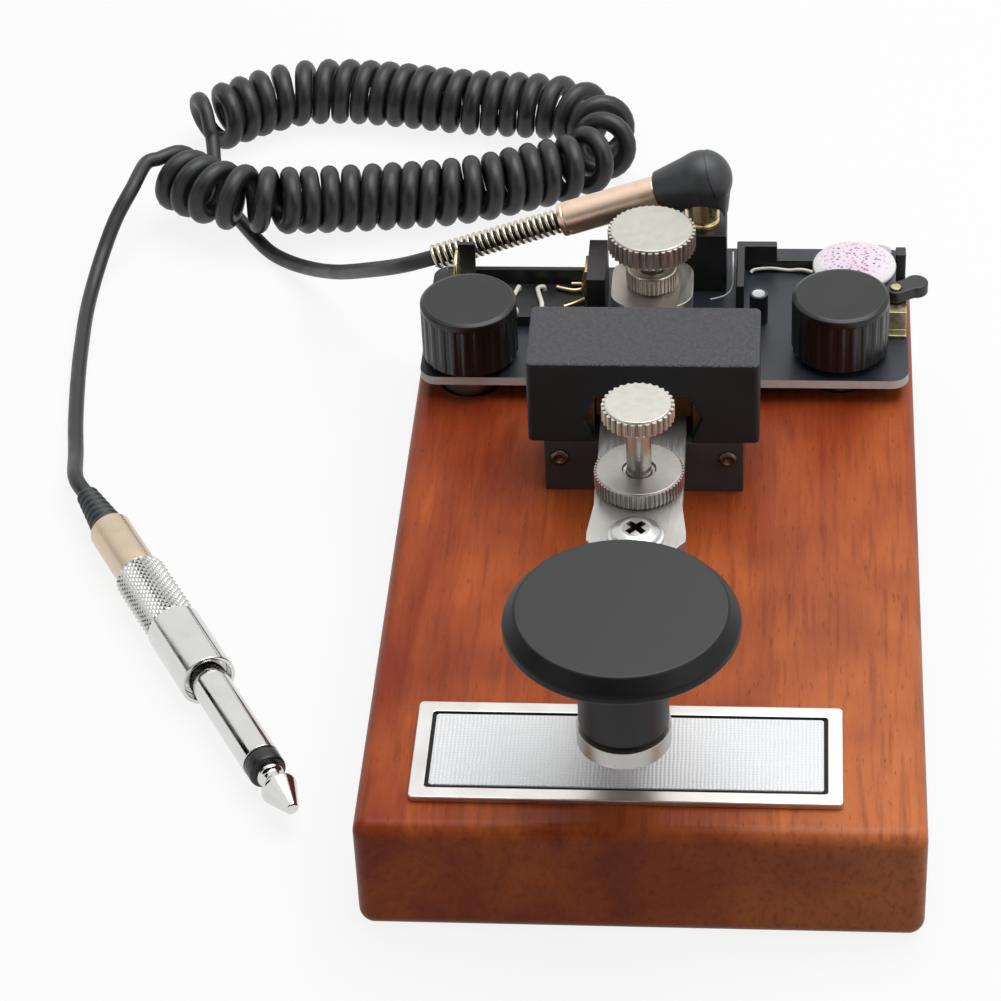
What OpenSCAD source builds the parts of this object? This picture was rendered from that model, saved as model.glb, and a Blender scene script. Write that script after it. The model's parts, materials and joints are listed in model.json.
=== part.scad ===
// Straight telegraph key on a wooden base, with its practice oscillator board,
// a curly lead in the rear jack and the lead's large plug on the table beside it.
// Millimetres. Origin at the middle of the base's underside, +Z up, knob end at -Y.

/* [Wooden base] */
// Width of the base
base_w = 85; // [84:1:110]
// Length of the base, front to rear
base_l = 147; // [147:1:190]
// Height of the base
base_h = 20.6; // [17:0.2:30]
// Radius of the rounded edges
base_edge_r = 2.5; // [1:0.25:4]

/* [Name plate] */
// Width of the name plate
plate_w = 64.5; // [40:0.5:76]
// Length of the name plate, front to rear
plate_l = 21.5; // [12:0.5:26]
// Thickness of the name plate
plate_t = 1.1; // [0.8:0.1:2]
// Width of the polished border round the panel
plate_rim = 2.3; // [1.5:0.1:4]
// Thickness of the linen-finish panel let into the plate
panel_t = 0.4; // [0.2:0.1:0.6]
// Distance from the front edge of the base to the plate
plate_setback = 5.9; // [4:0.1:12]

/* [Key line] */
// Offset of the key's centre line from the middle of the base
key_x = -2.2; // [-5:0.1:3]
// Distance from the front edge to the knob's axis
knob_setback = 9.5; // [7:0.5:16]
// Distance from the front edge to the front adjusting screw
spring_setback = 66.4; // [63:0.2:70]
// Distance from the front edge to the bridge
bridge_setback = 81.8; // [79:0.2:84]
// Distance from the front edge to the rear adjusting screw
stop_setback = 122.5; // [118:0.5:124]

/* [Lever] */
// Gap between the base and the underside of the lever
lever_rise = 10.4; // [9:0.2:13]
// Thickness of the lever
lever_t = 3; // [2:0.25:4]
// Width of the lever where it passes the bridge
lever_w = 14; // [12:0.5:15]
// Width of the lever at the contact screw
lever_flare_w = 15.6; // [15:0.2:20]
// Width of the tongue that carries the knob
tongue_w = 10; // [7:0.5:12]
// Width of the lever's neck between the bridge and its rear pad
lever_neck_w = 9; // [7:0.5:11]
// Radius of the rear pad's corners
lever_corner_r = 4; // [1:0.5:5]
// Length of the rear pad on each side of the rear adjusting screw
lever_tail = 7; // [6:0.5:9]

/* [Finger knob] */
// Radius of the knob's disc
disc_r = 17.2; // [14:0.2:20]
// Radius of the disc's flat top
disc_face_r = 15.4; // [10:0.2:16]
// Thickness of the disc
disc_t = 4.5; // [3.5:0.5:7]
// Radius of the knob's stem
stem_r = 6.7; // [5:0.1:8]
// Height of the knob from the lever to its top
knob_h = 22; // [18:0.5:28]
// Shank radius of the bolt that holds the knob
knob_bolt_r = 2; // [1.5:0.1:2.5]

/* [Bridge] */
// Width of the pivot block
block_w = 32.5; // [30:0.5:36]
// Thickness of the cover's side walls
cover_side = 2.6; // [1.5:0.1:4]
// Thickness of the cover's front and rear walls
cover_wall = 2; // [1.5:0.1:3]
// Thickness of the cover's roof
cover_roof = 2; // [1.5:0.1:3]
// Depth of the cover, front to rear
cover_d = 16.5; // [15.5:0.5:18]
// Height of the cover
cover_h = 15.5; // [15:0.5:20]
// Width of the six-sided window for the lever
window_w = 19.3; // [18.6:0.1:24]
// Height of the window above the cover's lower edge
window_h = 9.2; // [7:0.2:11]
// Radius of the pivot axle
axle_r = 2; // [1.5:0.1:2.2]
// Wall of the axle's bronze bushes
bush_wall = 1.4; // [0.8:0.1:1.6]
// Width of the hub on the lever
hub_w = 15.4; // [13:0.2:16]
// Depth of the hub, front to rear
hub_d = 11; // [10.6:0.1:11.4]
// Height of the hub
hub_h = 7.6; // [7:0.1:7.8]
// Height of the axle above the lever
axle_rise = 4; // [3.4:0.1:4.4]
// Shank radius of the hub screws
hub_screw_r = 0.9; // [0.6:0.05:1]

/* [Adjusting screws] */
// Shank radius of both adjusting screws
screw_r = 2; // [1.5:0.1:2.4]
// Head radius of the front screw
front_head_r = 5.8; // [4.5:0.1:7]
// Head thickness of the front screw
front_head_t = 3; // [2:0.5:5]
// Height of the front screw's head top above the lever
front_screw_rise = 16; // [13:0.5:20]
// Radius of the front lock nut
front_nut_r = 7.2; // [5:0.1:8]
// Thickness of the front lock nut
front_nut_t = 3; // [2:0.5:4]
// Head radius of the rear screw
rear_head_r = 7.5; // [6:0.1:8]
// Head thickness of the rear screw
rear_head_t = 4; // [2.5:0.5:5]
// Height of the rear screw's head top above the lever
rear_screw_rise = 11.2; // [10:0.2:14]
// Radius of the rear lock nut
rear_nut_r = 4.5; // [3.5:0.1:6]
// Thickness of the rear lock nut
rear_nut_t = 3.4; // [2:0.2:4]

/* [Contacts and spring] */
// Head radius of the contact screw
contact_head_r = 4.5; // [3:0.1:5]
// Head height of the contact screw
contact_head_h = 1.9; // [1.2:0.1:2.5]
// Distance from the contact screw's head to the front lock nut
contact_room = 1.7; // [1:0.1:4]
// Gap between the contacts with the key up
contact_gap = 0.95; // [0.9:0.05:1.2]
// Shank radius of the bolts through the base
bolt_r = 1.5; // [1.2:0.1:2]
// Head radius of the bolts through the base
bolt_head_r = 2.75; // [2.2:0.05:3.2]
// Wire diameter of the return spring
spring_wire = 0.8; // [0.6:0.05:0.9]
// Radius of the return spring at the middle of its wire
spring_r = 3.2; // [2.6:0.1:3.8]
// Number of turns in the return spring
spring_turns = 5; // [3:1:5]

/* [Circuit board] */
// Width of the circuit board
board_w = 83; // [82:0.5:84]
// Length of the circuit board, front to rear
board_l = 39.6; // [39.6:0.2:40.4]
// Thickness of the circuit board
board_t = 1.6; // [1:0.2:2.4]
// Distance from the front edge of the base to the board
board_setback = 106.6; // [104.5:0.1:106.6]
// Corner radius of the board
board_corner_r = 3; // [1:0.5:4]
// Height of the spacers under the board
spacer_h = 3; // [2:0.5:5]

/* [Dials] */
// Distance between the two dials
dial_spacing = 63; // [60:0.2:63.4]
// Offset of the pair of dials from the middle of the board
dial_shift = -1.6; // [-2:0.2:1]
// Distance from the board's front edge to the dials' axes
dial_inset = 6.4; // [6:0.1:6.8]
// How much further in the right dial stands
dial_stagger = 2.2; // [0:0.1:2.6]
// Radius of a dial knob at its foot
dial_r = 8.3; // [7.6:0.1:8.4]
// Height of a dial knob
dial_h = 10.6; // [9:0.2:14]
// Radius of a control's round can
can_r = 5.2; // [4.6:0.1:6]
// Height of a control's round can
can_h = 8.5; // [6:0.5:11]
// Radius of a control's threaded bush
control_bush_r = 3.5; // [3.2:0.1:4]
// Radius of a control's shaft
shaft_r = 3; // [2.4:0.1:3]

/* [Rear of the board] */
// Radius of the cell that the battery tray holds
cell_r = 5.15; // [4.5:0.05:5.2]
// Length of the cell that the battery tray holds
cell_l = 21.4; // [18:0.2:22.8]
// Height of the tray's side walls
tray_wall_h = 4; // [3.6:0.2:6]
// Width of the phone jack
jack_w = 8.5; // [7:0.5:9]
// Height of the phone jack
jack_h = 11.6; // [9:0.2:12]
// Offset of the jack from the middle of the board
jack_x = 6; // [5.8:0.1:6.4]
// Radius of the sounder
sounder_r = 7.2; // [6:0.1:7.4]
// Height of the sounder with its cap
sounder_h = 7.2; // [5:0.2:9]
// Radius of the filter capacitor
capacitor_r = 1.6; // [1.5:0.1:2]
// Height of the filter capacitor
capacitor_h = 5.8; // [4:0.2:8]

/* [Lead and plugs] */
// Diameter of the lead
cord_d = 2.8; // [2.4:0.1:2.8]
// Diameter of the lead where it is curled
curl_d = 3.1; // [2.8:0.1:3.1]
// Radius of the curls at the middle of the lead
curl_r = 4.75; // [4.5:0.05:5]
// Distance from one curl to the next on the straight
curl_pitch = 3.7; // [3.7:0.1:4.2]
// Droop of the elbow plug's barrel below level
elbow_droop = 19.3; // [18:0.1:22]
// Radius of the elbow plug's barrel
elbow_barrel_r = 3; // [2.5:0.1:3.2]
// Length of the elbow plug's barrel
elbow_barrel_l = 18; // [14:0.5:18]
// Wire diameter of the strain spring
strain_wire = 0.65; // [0.5:0.05:0.7]
// Number of turns in the strain spring
strain_turns = 21; // [15:1:22]
// Distance from one turn of the strain spring to the next
strain_pitch = 1.13; // [1.13:0.01:1.2]
// Radius of the large plug's shaft, a quarter inch across
plug_shaft_r = 3.175; // [3:0.025:3.3]
// Radius of the large plug's collar
plug_collar_r = 4.7; // [4.4:0.1:5.5]
// Radius of the large plug's knurled sleeve
plug_sleeve_r = 4.5; // [4:0.1:4.7]
// Radius of the large plug's rear barrel
plug_barrel_r = 3.65; // [3.3:0.05:4.2]
// Length of the large plug's rubber boot
plug_boot_l = 11; // [8:0.5:14]
// Length of the large plug's rear barrel
plug_barrel_l = 14; // [10:0.5:16]
// Length of the large plug's knurled sleeve
plug_sleeve_l = 15.8; // [10:0.2:18]
// Length of the large plug's collar
plug_collar_l = 15; // [10:0.5:18]
// Length of the large plug's shaft in front of the collar
plug_shaft_l = 22; // [18:0.5:26]

/* [Hidden] */
$fn = 48;

// Corners of the name plate and its panel
plate_corner_r = 0.8;
panel_corner_r = 0.5;

// Clearances
run_gap = 0.05;
seat_gap = 0.05;
face_gap = 0.1;
clear_gap = 0.3;
cut = 1;

// Places along the key, from the front edge of the base
front_y = -base_l / 2;
knob_y = front_y + knob_setback;
spring_y = front_y + spring_setback;
contact_y = spring_y - front_nut_r - contact_room - contact_head_r;
bridge_y = front_y + bridge_setback + cover_d / 2;
stop_y = front_y + stop_setback;

// Heights of the lever and the bridge
lever_z = base_h + lever_rise;
lever_top = lever_z + lever_t;
foot_gap = 0.5;
foot_h = lever_rise - foot_gap;
cover_z = base_h + foot_h;
cover_w = block_w + 2 * cover_side;
cover_corner_r = 1;
block_d = cover_d - 2 * cover_wall;
cheek_h = cover_h - cover_roof;
slot_w = hub_w + 2 * clear_gap;
cheek_w = (block_w - slot_w) / 2;
axle_z = lever_top + axle_rise;
bush_r = axle_r + run_gap + bush_wall;
axle_end_gap = 0.2;
hub_screw_y = (axle_r + hub_d / 2) / 2;
hub_screw_rim = 0.7;
hub_screw_head_r = hub_screw_r + hub_screw_rim;
hub_screw_head_h = 1.2;
window_side = 2.2;
window_flat = window_w - 2 * window_side;
window_mid = window_h / 2;

// Block screws, in the front face of the block's foot
block_screw_r = 1;
block_screw_head_r = 1.5;
block_screw_head_h = 0.7;
block_screw_l = 5;
block_screw_inset = 2.5;
block_screw_drop = 3.1;

// Bolts through the base
bolt_gap = 0.15;
bolt_recess = 4;
bolt_head_h = 2.6;
bolt_grip = 6;
bolt_hole_gap = 0.5;
block_bolt_x = block_w / 2 - cheek_w / 2;

// Contact screw and anvil
contact_r = 1.5;
contact_collar_r = 2.4;
contact_collar_h = 0.8;
contact_tip_r = 1.6;
contact_tip_h = 0.8;
moving_face = lever_z - contact_collar_h - contact_tip_h;
fixed_face = moving_face - contact_gap;
anvil_flange_r = 5;
anvil_flange_h = 1.5;
anvil_post_r = 3;
anvil_grip = 4;

// Front screw, return spring and its seats
front_tip_reach = 1;
front_tip_z = lever_z - front_tip_reach;
cap_top = front_tip_z - clear_gap;
cap_t = 1.2;
cap_rim = 0.4;
cap_r = spring_r + spring_wire / 2 + cap_rim;
cap_pilot_r = spring_r - spring_wire / 2 - clear_gap;
cap_pilot_h = 1.2;
cup_floor = 0.8;
cup_wall = 0.8;
cup_room = 0.6;
cup_r = spring_r + spring_wire / 2 + cup_room + cup_wall;
cup_h = 2.4;
spigot_r = 2;
spigot_l = 5;
spring_z0 = base_h + cup_floor + spring_wire / 2 + seat_gap;
spring_z1 = cap_top - cap_t - spring_wire / 2 - seat_gap;
spring_pitch = (spring_z1 - spring_z0) / spring_turns;

// Knob, its bolt and the lever's shape under it
stem_fillet = 1;
disc_foot_bevel = 1.2;
disc_foot_rise = 1;
knob_bolt_rim = 1.6;
knob_bolt_head_r = knob_bolt_r + knob_bolt_rim;
knob_bolt_head_h = 2.2;
knob_bolt_l = 10;
pad_rim = 0.3;
pad_r = stem_r + pad_rim;
shoulder_l = 4.5;
flare_l = 8;
flare_flat = 1;
neck_taper = 4;

// Screw heads of the adjusting screws
collar_rim = 1.3;
collar_r = screw_r + collar_rim;
collar_t = 0.8;
front_neck_z = lever_top + front_screw_rise - front_head_t - collar_t;
rear_neck_z = lever_top + rear_screw_rise - rear_head_t - collar_t;
nut_recess_rim = 0.7;
nut_recess_r = screw_r + nut_recess_rim;
nut_recess_h = 0.6;

// Circuit board and what stands on it
board_y0 = front_y + board_setback;
board_z = base_h + spacer_h;
board_top = board_z + board_t;
pocket_gap = 0.6;
control_bush_h = 3.4;
control_nut_h = 2;
control_nut_rim = 1.9;
control_nut_r = control_bush_r + control_nut_rim;
dial_foot_gap = 1.2;
dial_z = board_top + dial_foot_gap;
dial_recess_r = control_nut_r + pocket_gap;
dial_recess_room = 1;
dial_recess_h = control_bush_h - dial_foot_gap + dial_recess_room;
dial_taper = 0.3;
dial_bevel = 0.8;
shaft_sink = 3;
shaft_grip = 4;
stop_rise = 2;
stop_tip_z = board_top + stop_rise;
stop_face = stop_tip_z - clear_gap;
stop_post_r = 2.6;
stop_flange_r = 3.6;
stop_flange_h = 1;
stop_hole_gap = 0.8;
stop_hole_r = stop_post_r + stop_hole_gap;
board_screw_r = 1.25;
board_screw_head_r = 2.1;
board_screw_head_h = 1.5;
board_screw_l = 8;
spacer_r = 2.4;
front_pair_x = 13.5;
front_pair_inset = 3.9;
rear_pair_x = 37;
rear_pair_inset = 2.9;
board_notch_x = -8;
board_notch = 6.2;
board_screw_places = [for (side = [-1, 1]) each [[key_x + side * front_pair_x, board_y0 + front_pair_inset],
  [side * rear_pair_x, board_y0 + board_l - rear_pair_inset - (side < 0 ? board_notch : 0)]]];

// Wires under the base, from the bolts to the board
wire_r = 0.8;
wire_z = 1.5;
groove_w = 2.4;
contact_wire_inset = 5.4;
bridge_wire_inset = 9.4;
wire_runs = [[key_x, contact_y, board_y0 + contact_wire_inset],
  [key_x - block_bolt_x, bridge_y, board_y0 + bridge_wire_inset]];

// Battery tray
tray_wall = 0.9;
tray_floor = 1;
tray_lip = 1;
cell_gap = 0.1;
tray_half = cell_r + cell_gap + tray_wall;
tray_inset = 21.3;
tray_y = board_y0 + tray_inset;
tray_end = 2;
tray_post = 3.2;
tray_post_h = 9.8;
tray_lever_gap = 1.1;
contact_t = 0.5;
leaf_w = 5;
leaf_h = 8;
leaf_bow = 0.7;
button_margin = 1.6;
tray_x1 = key_x - lever_w / 2 - tray_lever_gap - tray_post;
cell_x0 = tray_x1 - contact_t - leaf_bow - cell_l;
tray_x0 = cell_x0 - contact_t - tray_end;
lead_wire_r = 0.5;
lead_span = 7.2;
lead_places = [-26, -21.6];
cell_lift = 2 * (lead_wire_r + face_gap);
cell_z = board_top + tray_floor + cell_lift + cell_r;
clip_w = 3;
clip_rise = 2.2;

// Jack, sounder, capacitor and switch
jack_inset = 30.4;
jack_y = board_y0 + jack_inset;
jack_top = board_top + jack_h;
jack_pin_r = 1.75;
jack_pin_l = 9;
sounder_x = 32.4;
sounder_inset = 25.4;
sounder_y = board_y0 + sounder_inset;
sounder_cap_h = 1.4;
sounder_dome = 0.6;
bracket_x0 = 12;
bracket_block_w = 7;
bracket_block_h = 5;
bracket_bar_h = 2;
bracket_bar_t = 1.7;
bracket_side_t = 1.4;
bracket_side_l = 14;
bracket_post_w = 1.8;
bracket_post_l = 2.6;
bracket_post_h = 6;
bracket_arm_l = 5.6;
bracket_y1 = sounder_y + sounder_r + clear_gap + bracket_bar_t;
bracket_x1 = board_w / 2 - face_gap;
capacitor_x = 16;
capacitor_inset = 17.4;
capacitor_y = board_y0 + capacitor_inset;
switch_x = 39.4;
switch_inset = 18;
switch_y = board_y0 + switch_inset;
switch_tab_r = 1.9;
switch_tab_t = 0.6;
switch_rise = 3.6;
switch_foot_l = 1.8;
switch_stud_r = 0.9;
switch_lever_t = 2.2;
switch_reach = 4;
switch_turn = 30;
switch_end_r = 2.1;
switch_hub_r = 1.7;

// Elbow plug, measured from the crossing of its two axes
elbow_rise = 20.5;
elbow_z = board_top + elbow_rise;
elbow_r = 5.1;
elbow_face = 8;
elbow_mouth_gap = 2.6;
hood_taper = 0.6;
hood_lip = 0.6;
ferrule_r = 3;
ferrule_sink = 3;
arch_room = 0.7;
strain_room = 0.2;
strain_r = cord_d / 2 + strain_room + strain_wire / 2;
strain_start = elbow_face + elbow_barrel_l;
strain_end = strain_start + strain_turns * strain_pitch + 2 * strain_wire;
elbow_way = [-cos(elbow_droop), 0, -sin(elbow_droop)];
function elbow_at(s) = [jack_x, jack_y, elbow_z] + s * elbow_way;

// Large plug, lying on the table
plug_at = [-99.8, 25.4];
plug_turn = -60;
plug_z = max(plug_collar_r, plug_sleeve_r) + seat_gap;
plug_way = [cos(plug_turn), sin(plug_turn), 0];
collar_end = plug_boot_l + plug_barrel_l + plug_sleeve_l + plug_collar_l;
shaft_end = collar_end + plug_shaft_l;
mouth_depth = 2;
collar_wall = 0.7;
plug_ring_l = 3;
plug_ring_gap = 0.12;
plug_tip_l = 9.6;
plug_neck_r = 2.2;
plug_cone_r = 3;
plug_point_r = 1;
boot_wall = 0.6;
boot_r0 = cord_d / 2 + boot_wall;
boot_step = 0.7;
boot_r1 = plug_barrel_r - boot_step;
boot_ribs = 7;
rib_depth = 0.35;
plug_rear = [plug_at[0], plug_at[1], plug_z];

// Routes of the lead: the axis of the curls as x, y and lift off the table,
// then the two plain stretches as x, y and z
cord_r = cord_d / 2;
table_gap = 0.05;
curl_steps = 8;
tail_l = cord_d;
loosen_l = 14;
loose_pitch = 8.5;
leave_step = 1;
most_bend = 0.11;
lead_inside = 12;
route_steps = 8;
lead_steps = 2;
coil_sides = 6;
lead_sides = 8;
coil_route = [[-98.2, 120.8, 2.4], [-93.2, 116.4, 2.9], [-87.7, 112.5, 3.4], [-81.9, 110.8, 3.5],
  [-76.6, 111.5, 2.7], [-70.2, 113.9, 1.3], [-61.9, 116.3, 0.2], [-53.7, 117.5, 0], [-45.1, 118.7, 0],
  [-36.8, 121, 0], [-28.6, 124.7, 0], [-21, 128, 0], [-16.2, 133, 0], [-15.1, 139.5, 0], [-18, 145.5, 0],
  [-24.6, 149.4, 0], [-34, 150.8, 0], [-44, 151.8, 0], [-53.5, 153.6, 0], [-61, 154.9, 0], [-69, 155.6, 0],
  [-77.1, 154.8, 0], [-84, 151.6, 0], [-90, 147.4, 0], [-95.2, 143.4, 0], [-99.4, 140.2, 0]];
jack_route = [[-47.7, 65, 26.2], [-54.3, 72.7, 20], [-61.3, 83, 12.4], [-67.5, 93.4, 5.8], [-73, 100.2, 2.6],
  [-77.4, 105, 1.5], [-81, 109.8, 1.5], [-84.4, 115.2, 1.5], [-88, 121, 1.6], [-91, 127, 2.2]];
plug_route = [[-104.2, 110.1, 12.6], [-106.8, 105.2, 9.2], [-108.9, 99.4, 5], [-110, 92, 2.2],
  [-110, 84, 1.5], [-109.3, 75, 1.5], [-108.3, 65, 1.5], [-106.6, 52, 1.5], [-104.6, 40.6, 2.3]];

// Tubes swept along points
function unit(v) = v / norm(v);
function on_curve(a, b, c, d, t) =
  0.5 * (2 * b + (c - a) * t + (2 * a - 5 * b + 4 * c - d) * t * t + (3 * b - a - 3 * c + d) * t * t * t);
function smooth_route(p, steps) = let (last = len(p) - 1)
  [for (i = [0:last - 1], k = [0:steps - 1])
     on_curve(p[max(i - 1, 0)], p[i], p[i + 1], p[min(i + 2, last)], k / steps), p[last]];
function headings(p) = let (last = len(p) - 1)
  [for (i = [0:last]) unit(p[min(i + 1, last)] - p[max(i - 1, 0)])];
function square_to(t) = unit(cross(t, abs(t[2]) < 0.8 ? [0, 0, 1] : [1, 0, 0]));
function ring_sides(t) =
  [for (i = 0, n = square_to(t[0]); i < len(t);
        i = i + 1, n = i < len(t) ? unit(n - (n * t[i]) * t[i]) : n) n];
function helix(r, pitch, turns, steps) =
  [for (i = [0:turns * steps]) [r * cos(360 * i / steps), r * sin(360 * i / steps), pitch * i / steps]];
function helix_heading(r, pitch) = unit([0, 2 * PI * r, pitch]);
function with_tails(r, pitch, turns, steps, tail) = let (h = helix(r, pitch, turns, steps))
  concat([h[0] - tail * helix_heading(r, pitch)], h, [h[len(h) - 1] + tail * helix_heading(r, pitch)]);
function least_gap(p, skip, r) =
  min([for (i = [0:len(p) - 1 - skip], j = [i + skip:len(p) - 1]) norm(p[i] - p[j])]) - 2 * r;

module tube(path, r, sides) {
  ways = headings(path);
  side = ring_sides(ways);
  last = len(path) - 1;
  points = [for (i = [0:last], k = [0:sides - 1]) let (a = -360 * k / sides)
    path[i] + r * (cos(a) * side[i] + sin(a) * cross(ways[i], side[i]))];
  walls = [for (i = [0:last - 1], k = [0:sides - 1]) let (a = i * sides + k, b = i * sides + (k + 1) % sides)
    each [[a, a + sides, b], [b, a + sides, b + sides]]];
  near_cap = [for (k = [1:sides - 2]) [0, k, k + 1]];
  far_cap = [for (k = [1:sides - 2]) [last * sides, last * sides + k + 1, last * sides + k]];
  polyhedron(points, concat(walls, near_cap, far_cap));
}

// The curls: a helix round the smoothed axis, opening at its far end, where the lead leaves it
track = smooth_route(coil_route, route_steps);
track_run = [for (i = 0, s = 0; i < len(track);
                  i = i + 1, s = i < len(track) ? s + norm(track[i] - track[i - 1]) : s) s];
track_l = track_run[len(track_run) - 1];
track_x = [for (i = [0:len(track) - 1]) [track_run[i], track[i][0]]];
track_y = [for (i = [0:len(track) - 1]) [track_run[i], track[i][1]]];
track_lift = [for (i = [0:len(track) - 1]) [track_run[i], track[i][2]]];
feel = 3;
function plan_at(s) = [lookup(s, track_x), lookup(s, track_y), 0];
function plan_way(s) = let (q = max(0, min(track_l, s)))
  unit(plan_at(min(q + feel, track_l)) - plan_at(max(q - feel, 0)));
function bend_at(s) = let (q = max(3 * feel, s))
  norm(plan_way(q + feel) - plan_way(q - feel)) / (2 * feel);
function ease(t) = let (u = max(0, min(1, t))) u * u * (3 - 2 * u);
function looseness(s) = ease((s - (track_l - loosen_l)) / loosen_l);
function pitch_at(s) = curl_pitch / (1 - curl_r * min(bend_at(s), most_bend)) * (1 - looseness(s))
  + loose_pitch * looseness(s);
curl_all = [for (s = 0; s < track_l; s = s + pitch_at(s) / curl_steps) s];
curl_last = curl_steps * floor((len(curl_all) - 1 - leave_step) / curl_steps) + leave_step;
curl_s = [for (i = [0:curl_last]) curl_all[i]];
function curl_point(s, turn) = let (side = cross(plan_way(s), [0, 0, 1]))
  plan_at(s) + [0, 0, table_gap + curl_d / 2 + curl_r + lookup(s, track_lift) + curl_r * cos(turn)]
  - curl_r * sin(turn) * side;
function curl_way(s, turn) = unit(plan_way(s)
  - curl_r * 2 * PI / pitch_at(s) * (cos(turn) * cross(plan_way(s), [0, 0, 1]) + sin(turn) * [0, 0, 1]));
curl_path = [for (i = [0:curl_last]) curl_point(curl_s[i], 360 * i / curl_steps)];
curl_in_way = curl_way(0, 0);
curl_entry = curl_path[0] - tail_l * curl_in_way;
curl_out_way = curl_way(curl_s[curl_last], 360 * curl_last / curl_steps);
curl_exit = curl_path[curl_last] + tail_l * curl_out_way;
curly_path = concat([curl_entry], curl_path, [curl_exit]);
jack_path = smooth_route(concat(
  [elbow_at(strain_start), elbow_at(strain_start + lead_inside), elbow_at(strain_end)], jack_route,
  [curl_exit + tail_l * curl_out_way, curl_exit]), lead_steps);
plug_path = smooth_route(concat([curl_entry, curl_entry - tail_l * curl_in_way], plug_route,
  [plug_rear - 2 * tail_l * plug_way, plug_rear]), lead_steps);
strain_path = with_tails(strain_r, strain_pitch, strain_turns, curl_steps, strain_wire);
return_path = with_tails(spring_r, spring_pitch, spring_turns, curl_steps, spring_wire);
union() {
  echo(curls = len(curl_s) / curl_steps, springs = strain_turns + spring_turns);
  echo(least_gap_curly_cord = least_gap(curly_path, 5, curl_d / 2));
  echo(least_gap_strain_spring = least_gap(strain_path, 5, strain_wire / 2));
  echo(least_gap_return_spring = least_gap(return_path, 5, spring_wire / 2));
}

// Shared shapes
module rounded_sheet(w, l, r) {
  square([w - 2 * r, l], center = true);
  square([w, l - 2 * r], center = true);
  for (x = [-1, 1], y = [-1, 1]) translate([x * (w / 2 - r), y * (l / 2 - r)]) circle(r = r);
}

module rounded_block(w, l, h, r) {
  translate([0, 0, h / 2]) cube([w - 2 * r, l - 2 * r, h], center = true);
  translate([0, 0, h / 2]) cube([w - 2 * r, l, h - 2 * r], center = true);
  translate([0, 0, h / 2]) cube([w, l - 2 * r, h - 2 * r], center = true);
  xs = [-1, 1] * (w / 2 - r);
  ys = [-1, 1] * (l / 2 - r);
  zs = [r, h - r];
  for (x = xs, y = ys) translate([x, y, r]) cylinder(r = r, h = h - 2 * r);
  for (x = xs, z = zs) translate([x, 0, z]) rotate([90, 0, 0]) cylinder(r = r, h = l - 2 * r, center = true);
  for (y = ys, z = zs) translate([0, y, z]) rotate([0, 90, 0]) cylinder(r = r, h = w - 2 * r, center = true);
  for (x = xs, y = ys, z = zs) translate([x, y, z]) sphere(r = r);
}

module headed_screw(head_r, head_h, shank_r, shank_l) {
  cylinder(r = head_r, h = head_h);
  translate([0, 0, -shank_l]) cylinder(r = shank_r, h = shank_l);
}

module cross_bar(r, l) {
  rotate([0, 90, 0]) cylinder(r = r, h = l, center = true);
}

function dial_x(side) = dial_shift + side * dial_spacing / 2;
function dial_y(side) = board_y0 + dial_inset + (side > 0 ? dial_stagger : 0);

// Pieces fixed to the base
module wood_base() {
  color("#8a3a1e") difference() {
    rounded_block(base_w, base_l, base_h, base_edge_r);
    for (side = [-1, 1]) translate([dial_x(side), dial_y(side), board_z - can_h - pocket_gap])
      cylinder(r = can_r + pocket_gap, h = base_h);
    for (p = [[key_x, contact_y], [key_x - block_bolt_x, bridge_y], [key_x + block_bolt_x, bridge_y]])
      translate([p[0], p[1], 0]) {
        translate([0, 0, -cut]) cylinder(r = bolt_r + bolt_gap, h = base_h + 2 * cut);
        translate([0, 0, -cut]) cylinder(r = bolt_head_r + bolt_hole_gap, h = bolt_recess + cut);
      }
    for (y = [spring_y, stop_y]) translate([key_x, y, base_h - spigot_l - seat_gap])
      cylinder(r = spigot_r + seat_gap, h = spigot_l + cut);
    for (p = board_screw_places) translate([p[0], p[1], board_top - board_screw_l - seat_gap])
      cylinder(r = board_screw_r + seat_gap, h = board_screw_l);
    for (run = wire_runs) {
      translate([run[0] - groove_w / 2, run[1], -cut])
        cube([groove_w, run[2] - run[1] + groove_w / 2, wire_z + groove_w / 2 + cut]);
      translate([run[0], run[2], -cut]) cylinder(r = groove_w / 2, h = base_h + 2 * cut);
    }
  }
}

module name_plate() {
  color("#dcdcd8") translate([key_x, front_y + plate_setback + plate_l / 2, base_h]) difference() {
    linear_extrude(plate_t) rounded_sheet(plate_w, plate_l, plate_corner_r);
    translate([0, 0, plate_t - panel_t]) linear_extrude(panel_t + cut)
      rounded_sheet(plate_w - 2 * plate_rim, plate_l - 2 * plate_rim, panel_corner_r);
  }
}

module plate_panel() {
  color("#eceeee") translate([key_x, front_y + plate_setback + plate_l / 2, base_h + plate_t - panel_t])
    linear_extrude(panel_t) rounded_sheet(plate_w - 2 * plate_rim - 2 * seat_gap,
      plate_l - 2 * plate_rim - 2 * seat_gap, panel_corner_r);
}

module block_screw_place(side) {
  x = key_x + side * (block_w / 2 - block_screw_inset);
  translate([x, bridge_y - cover_d / 2, cover_z - block_screw_drop]) rotate([90, 0, 0]) children();
}

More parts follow.
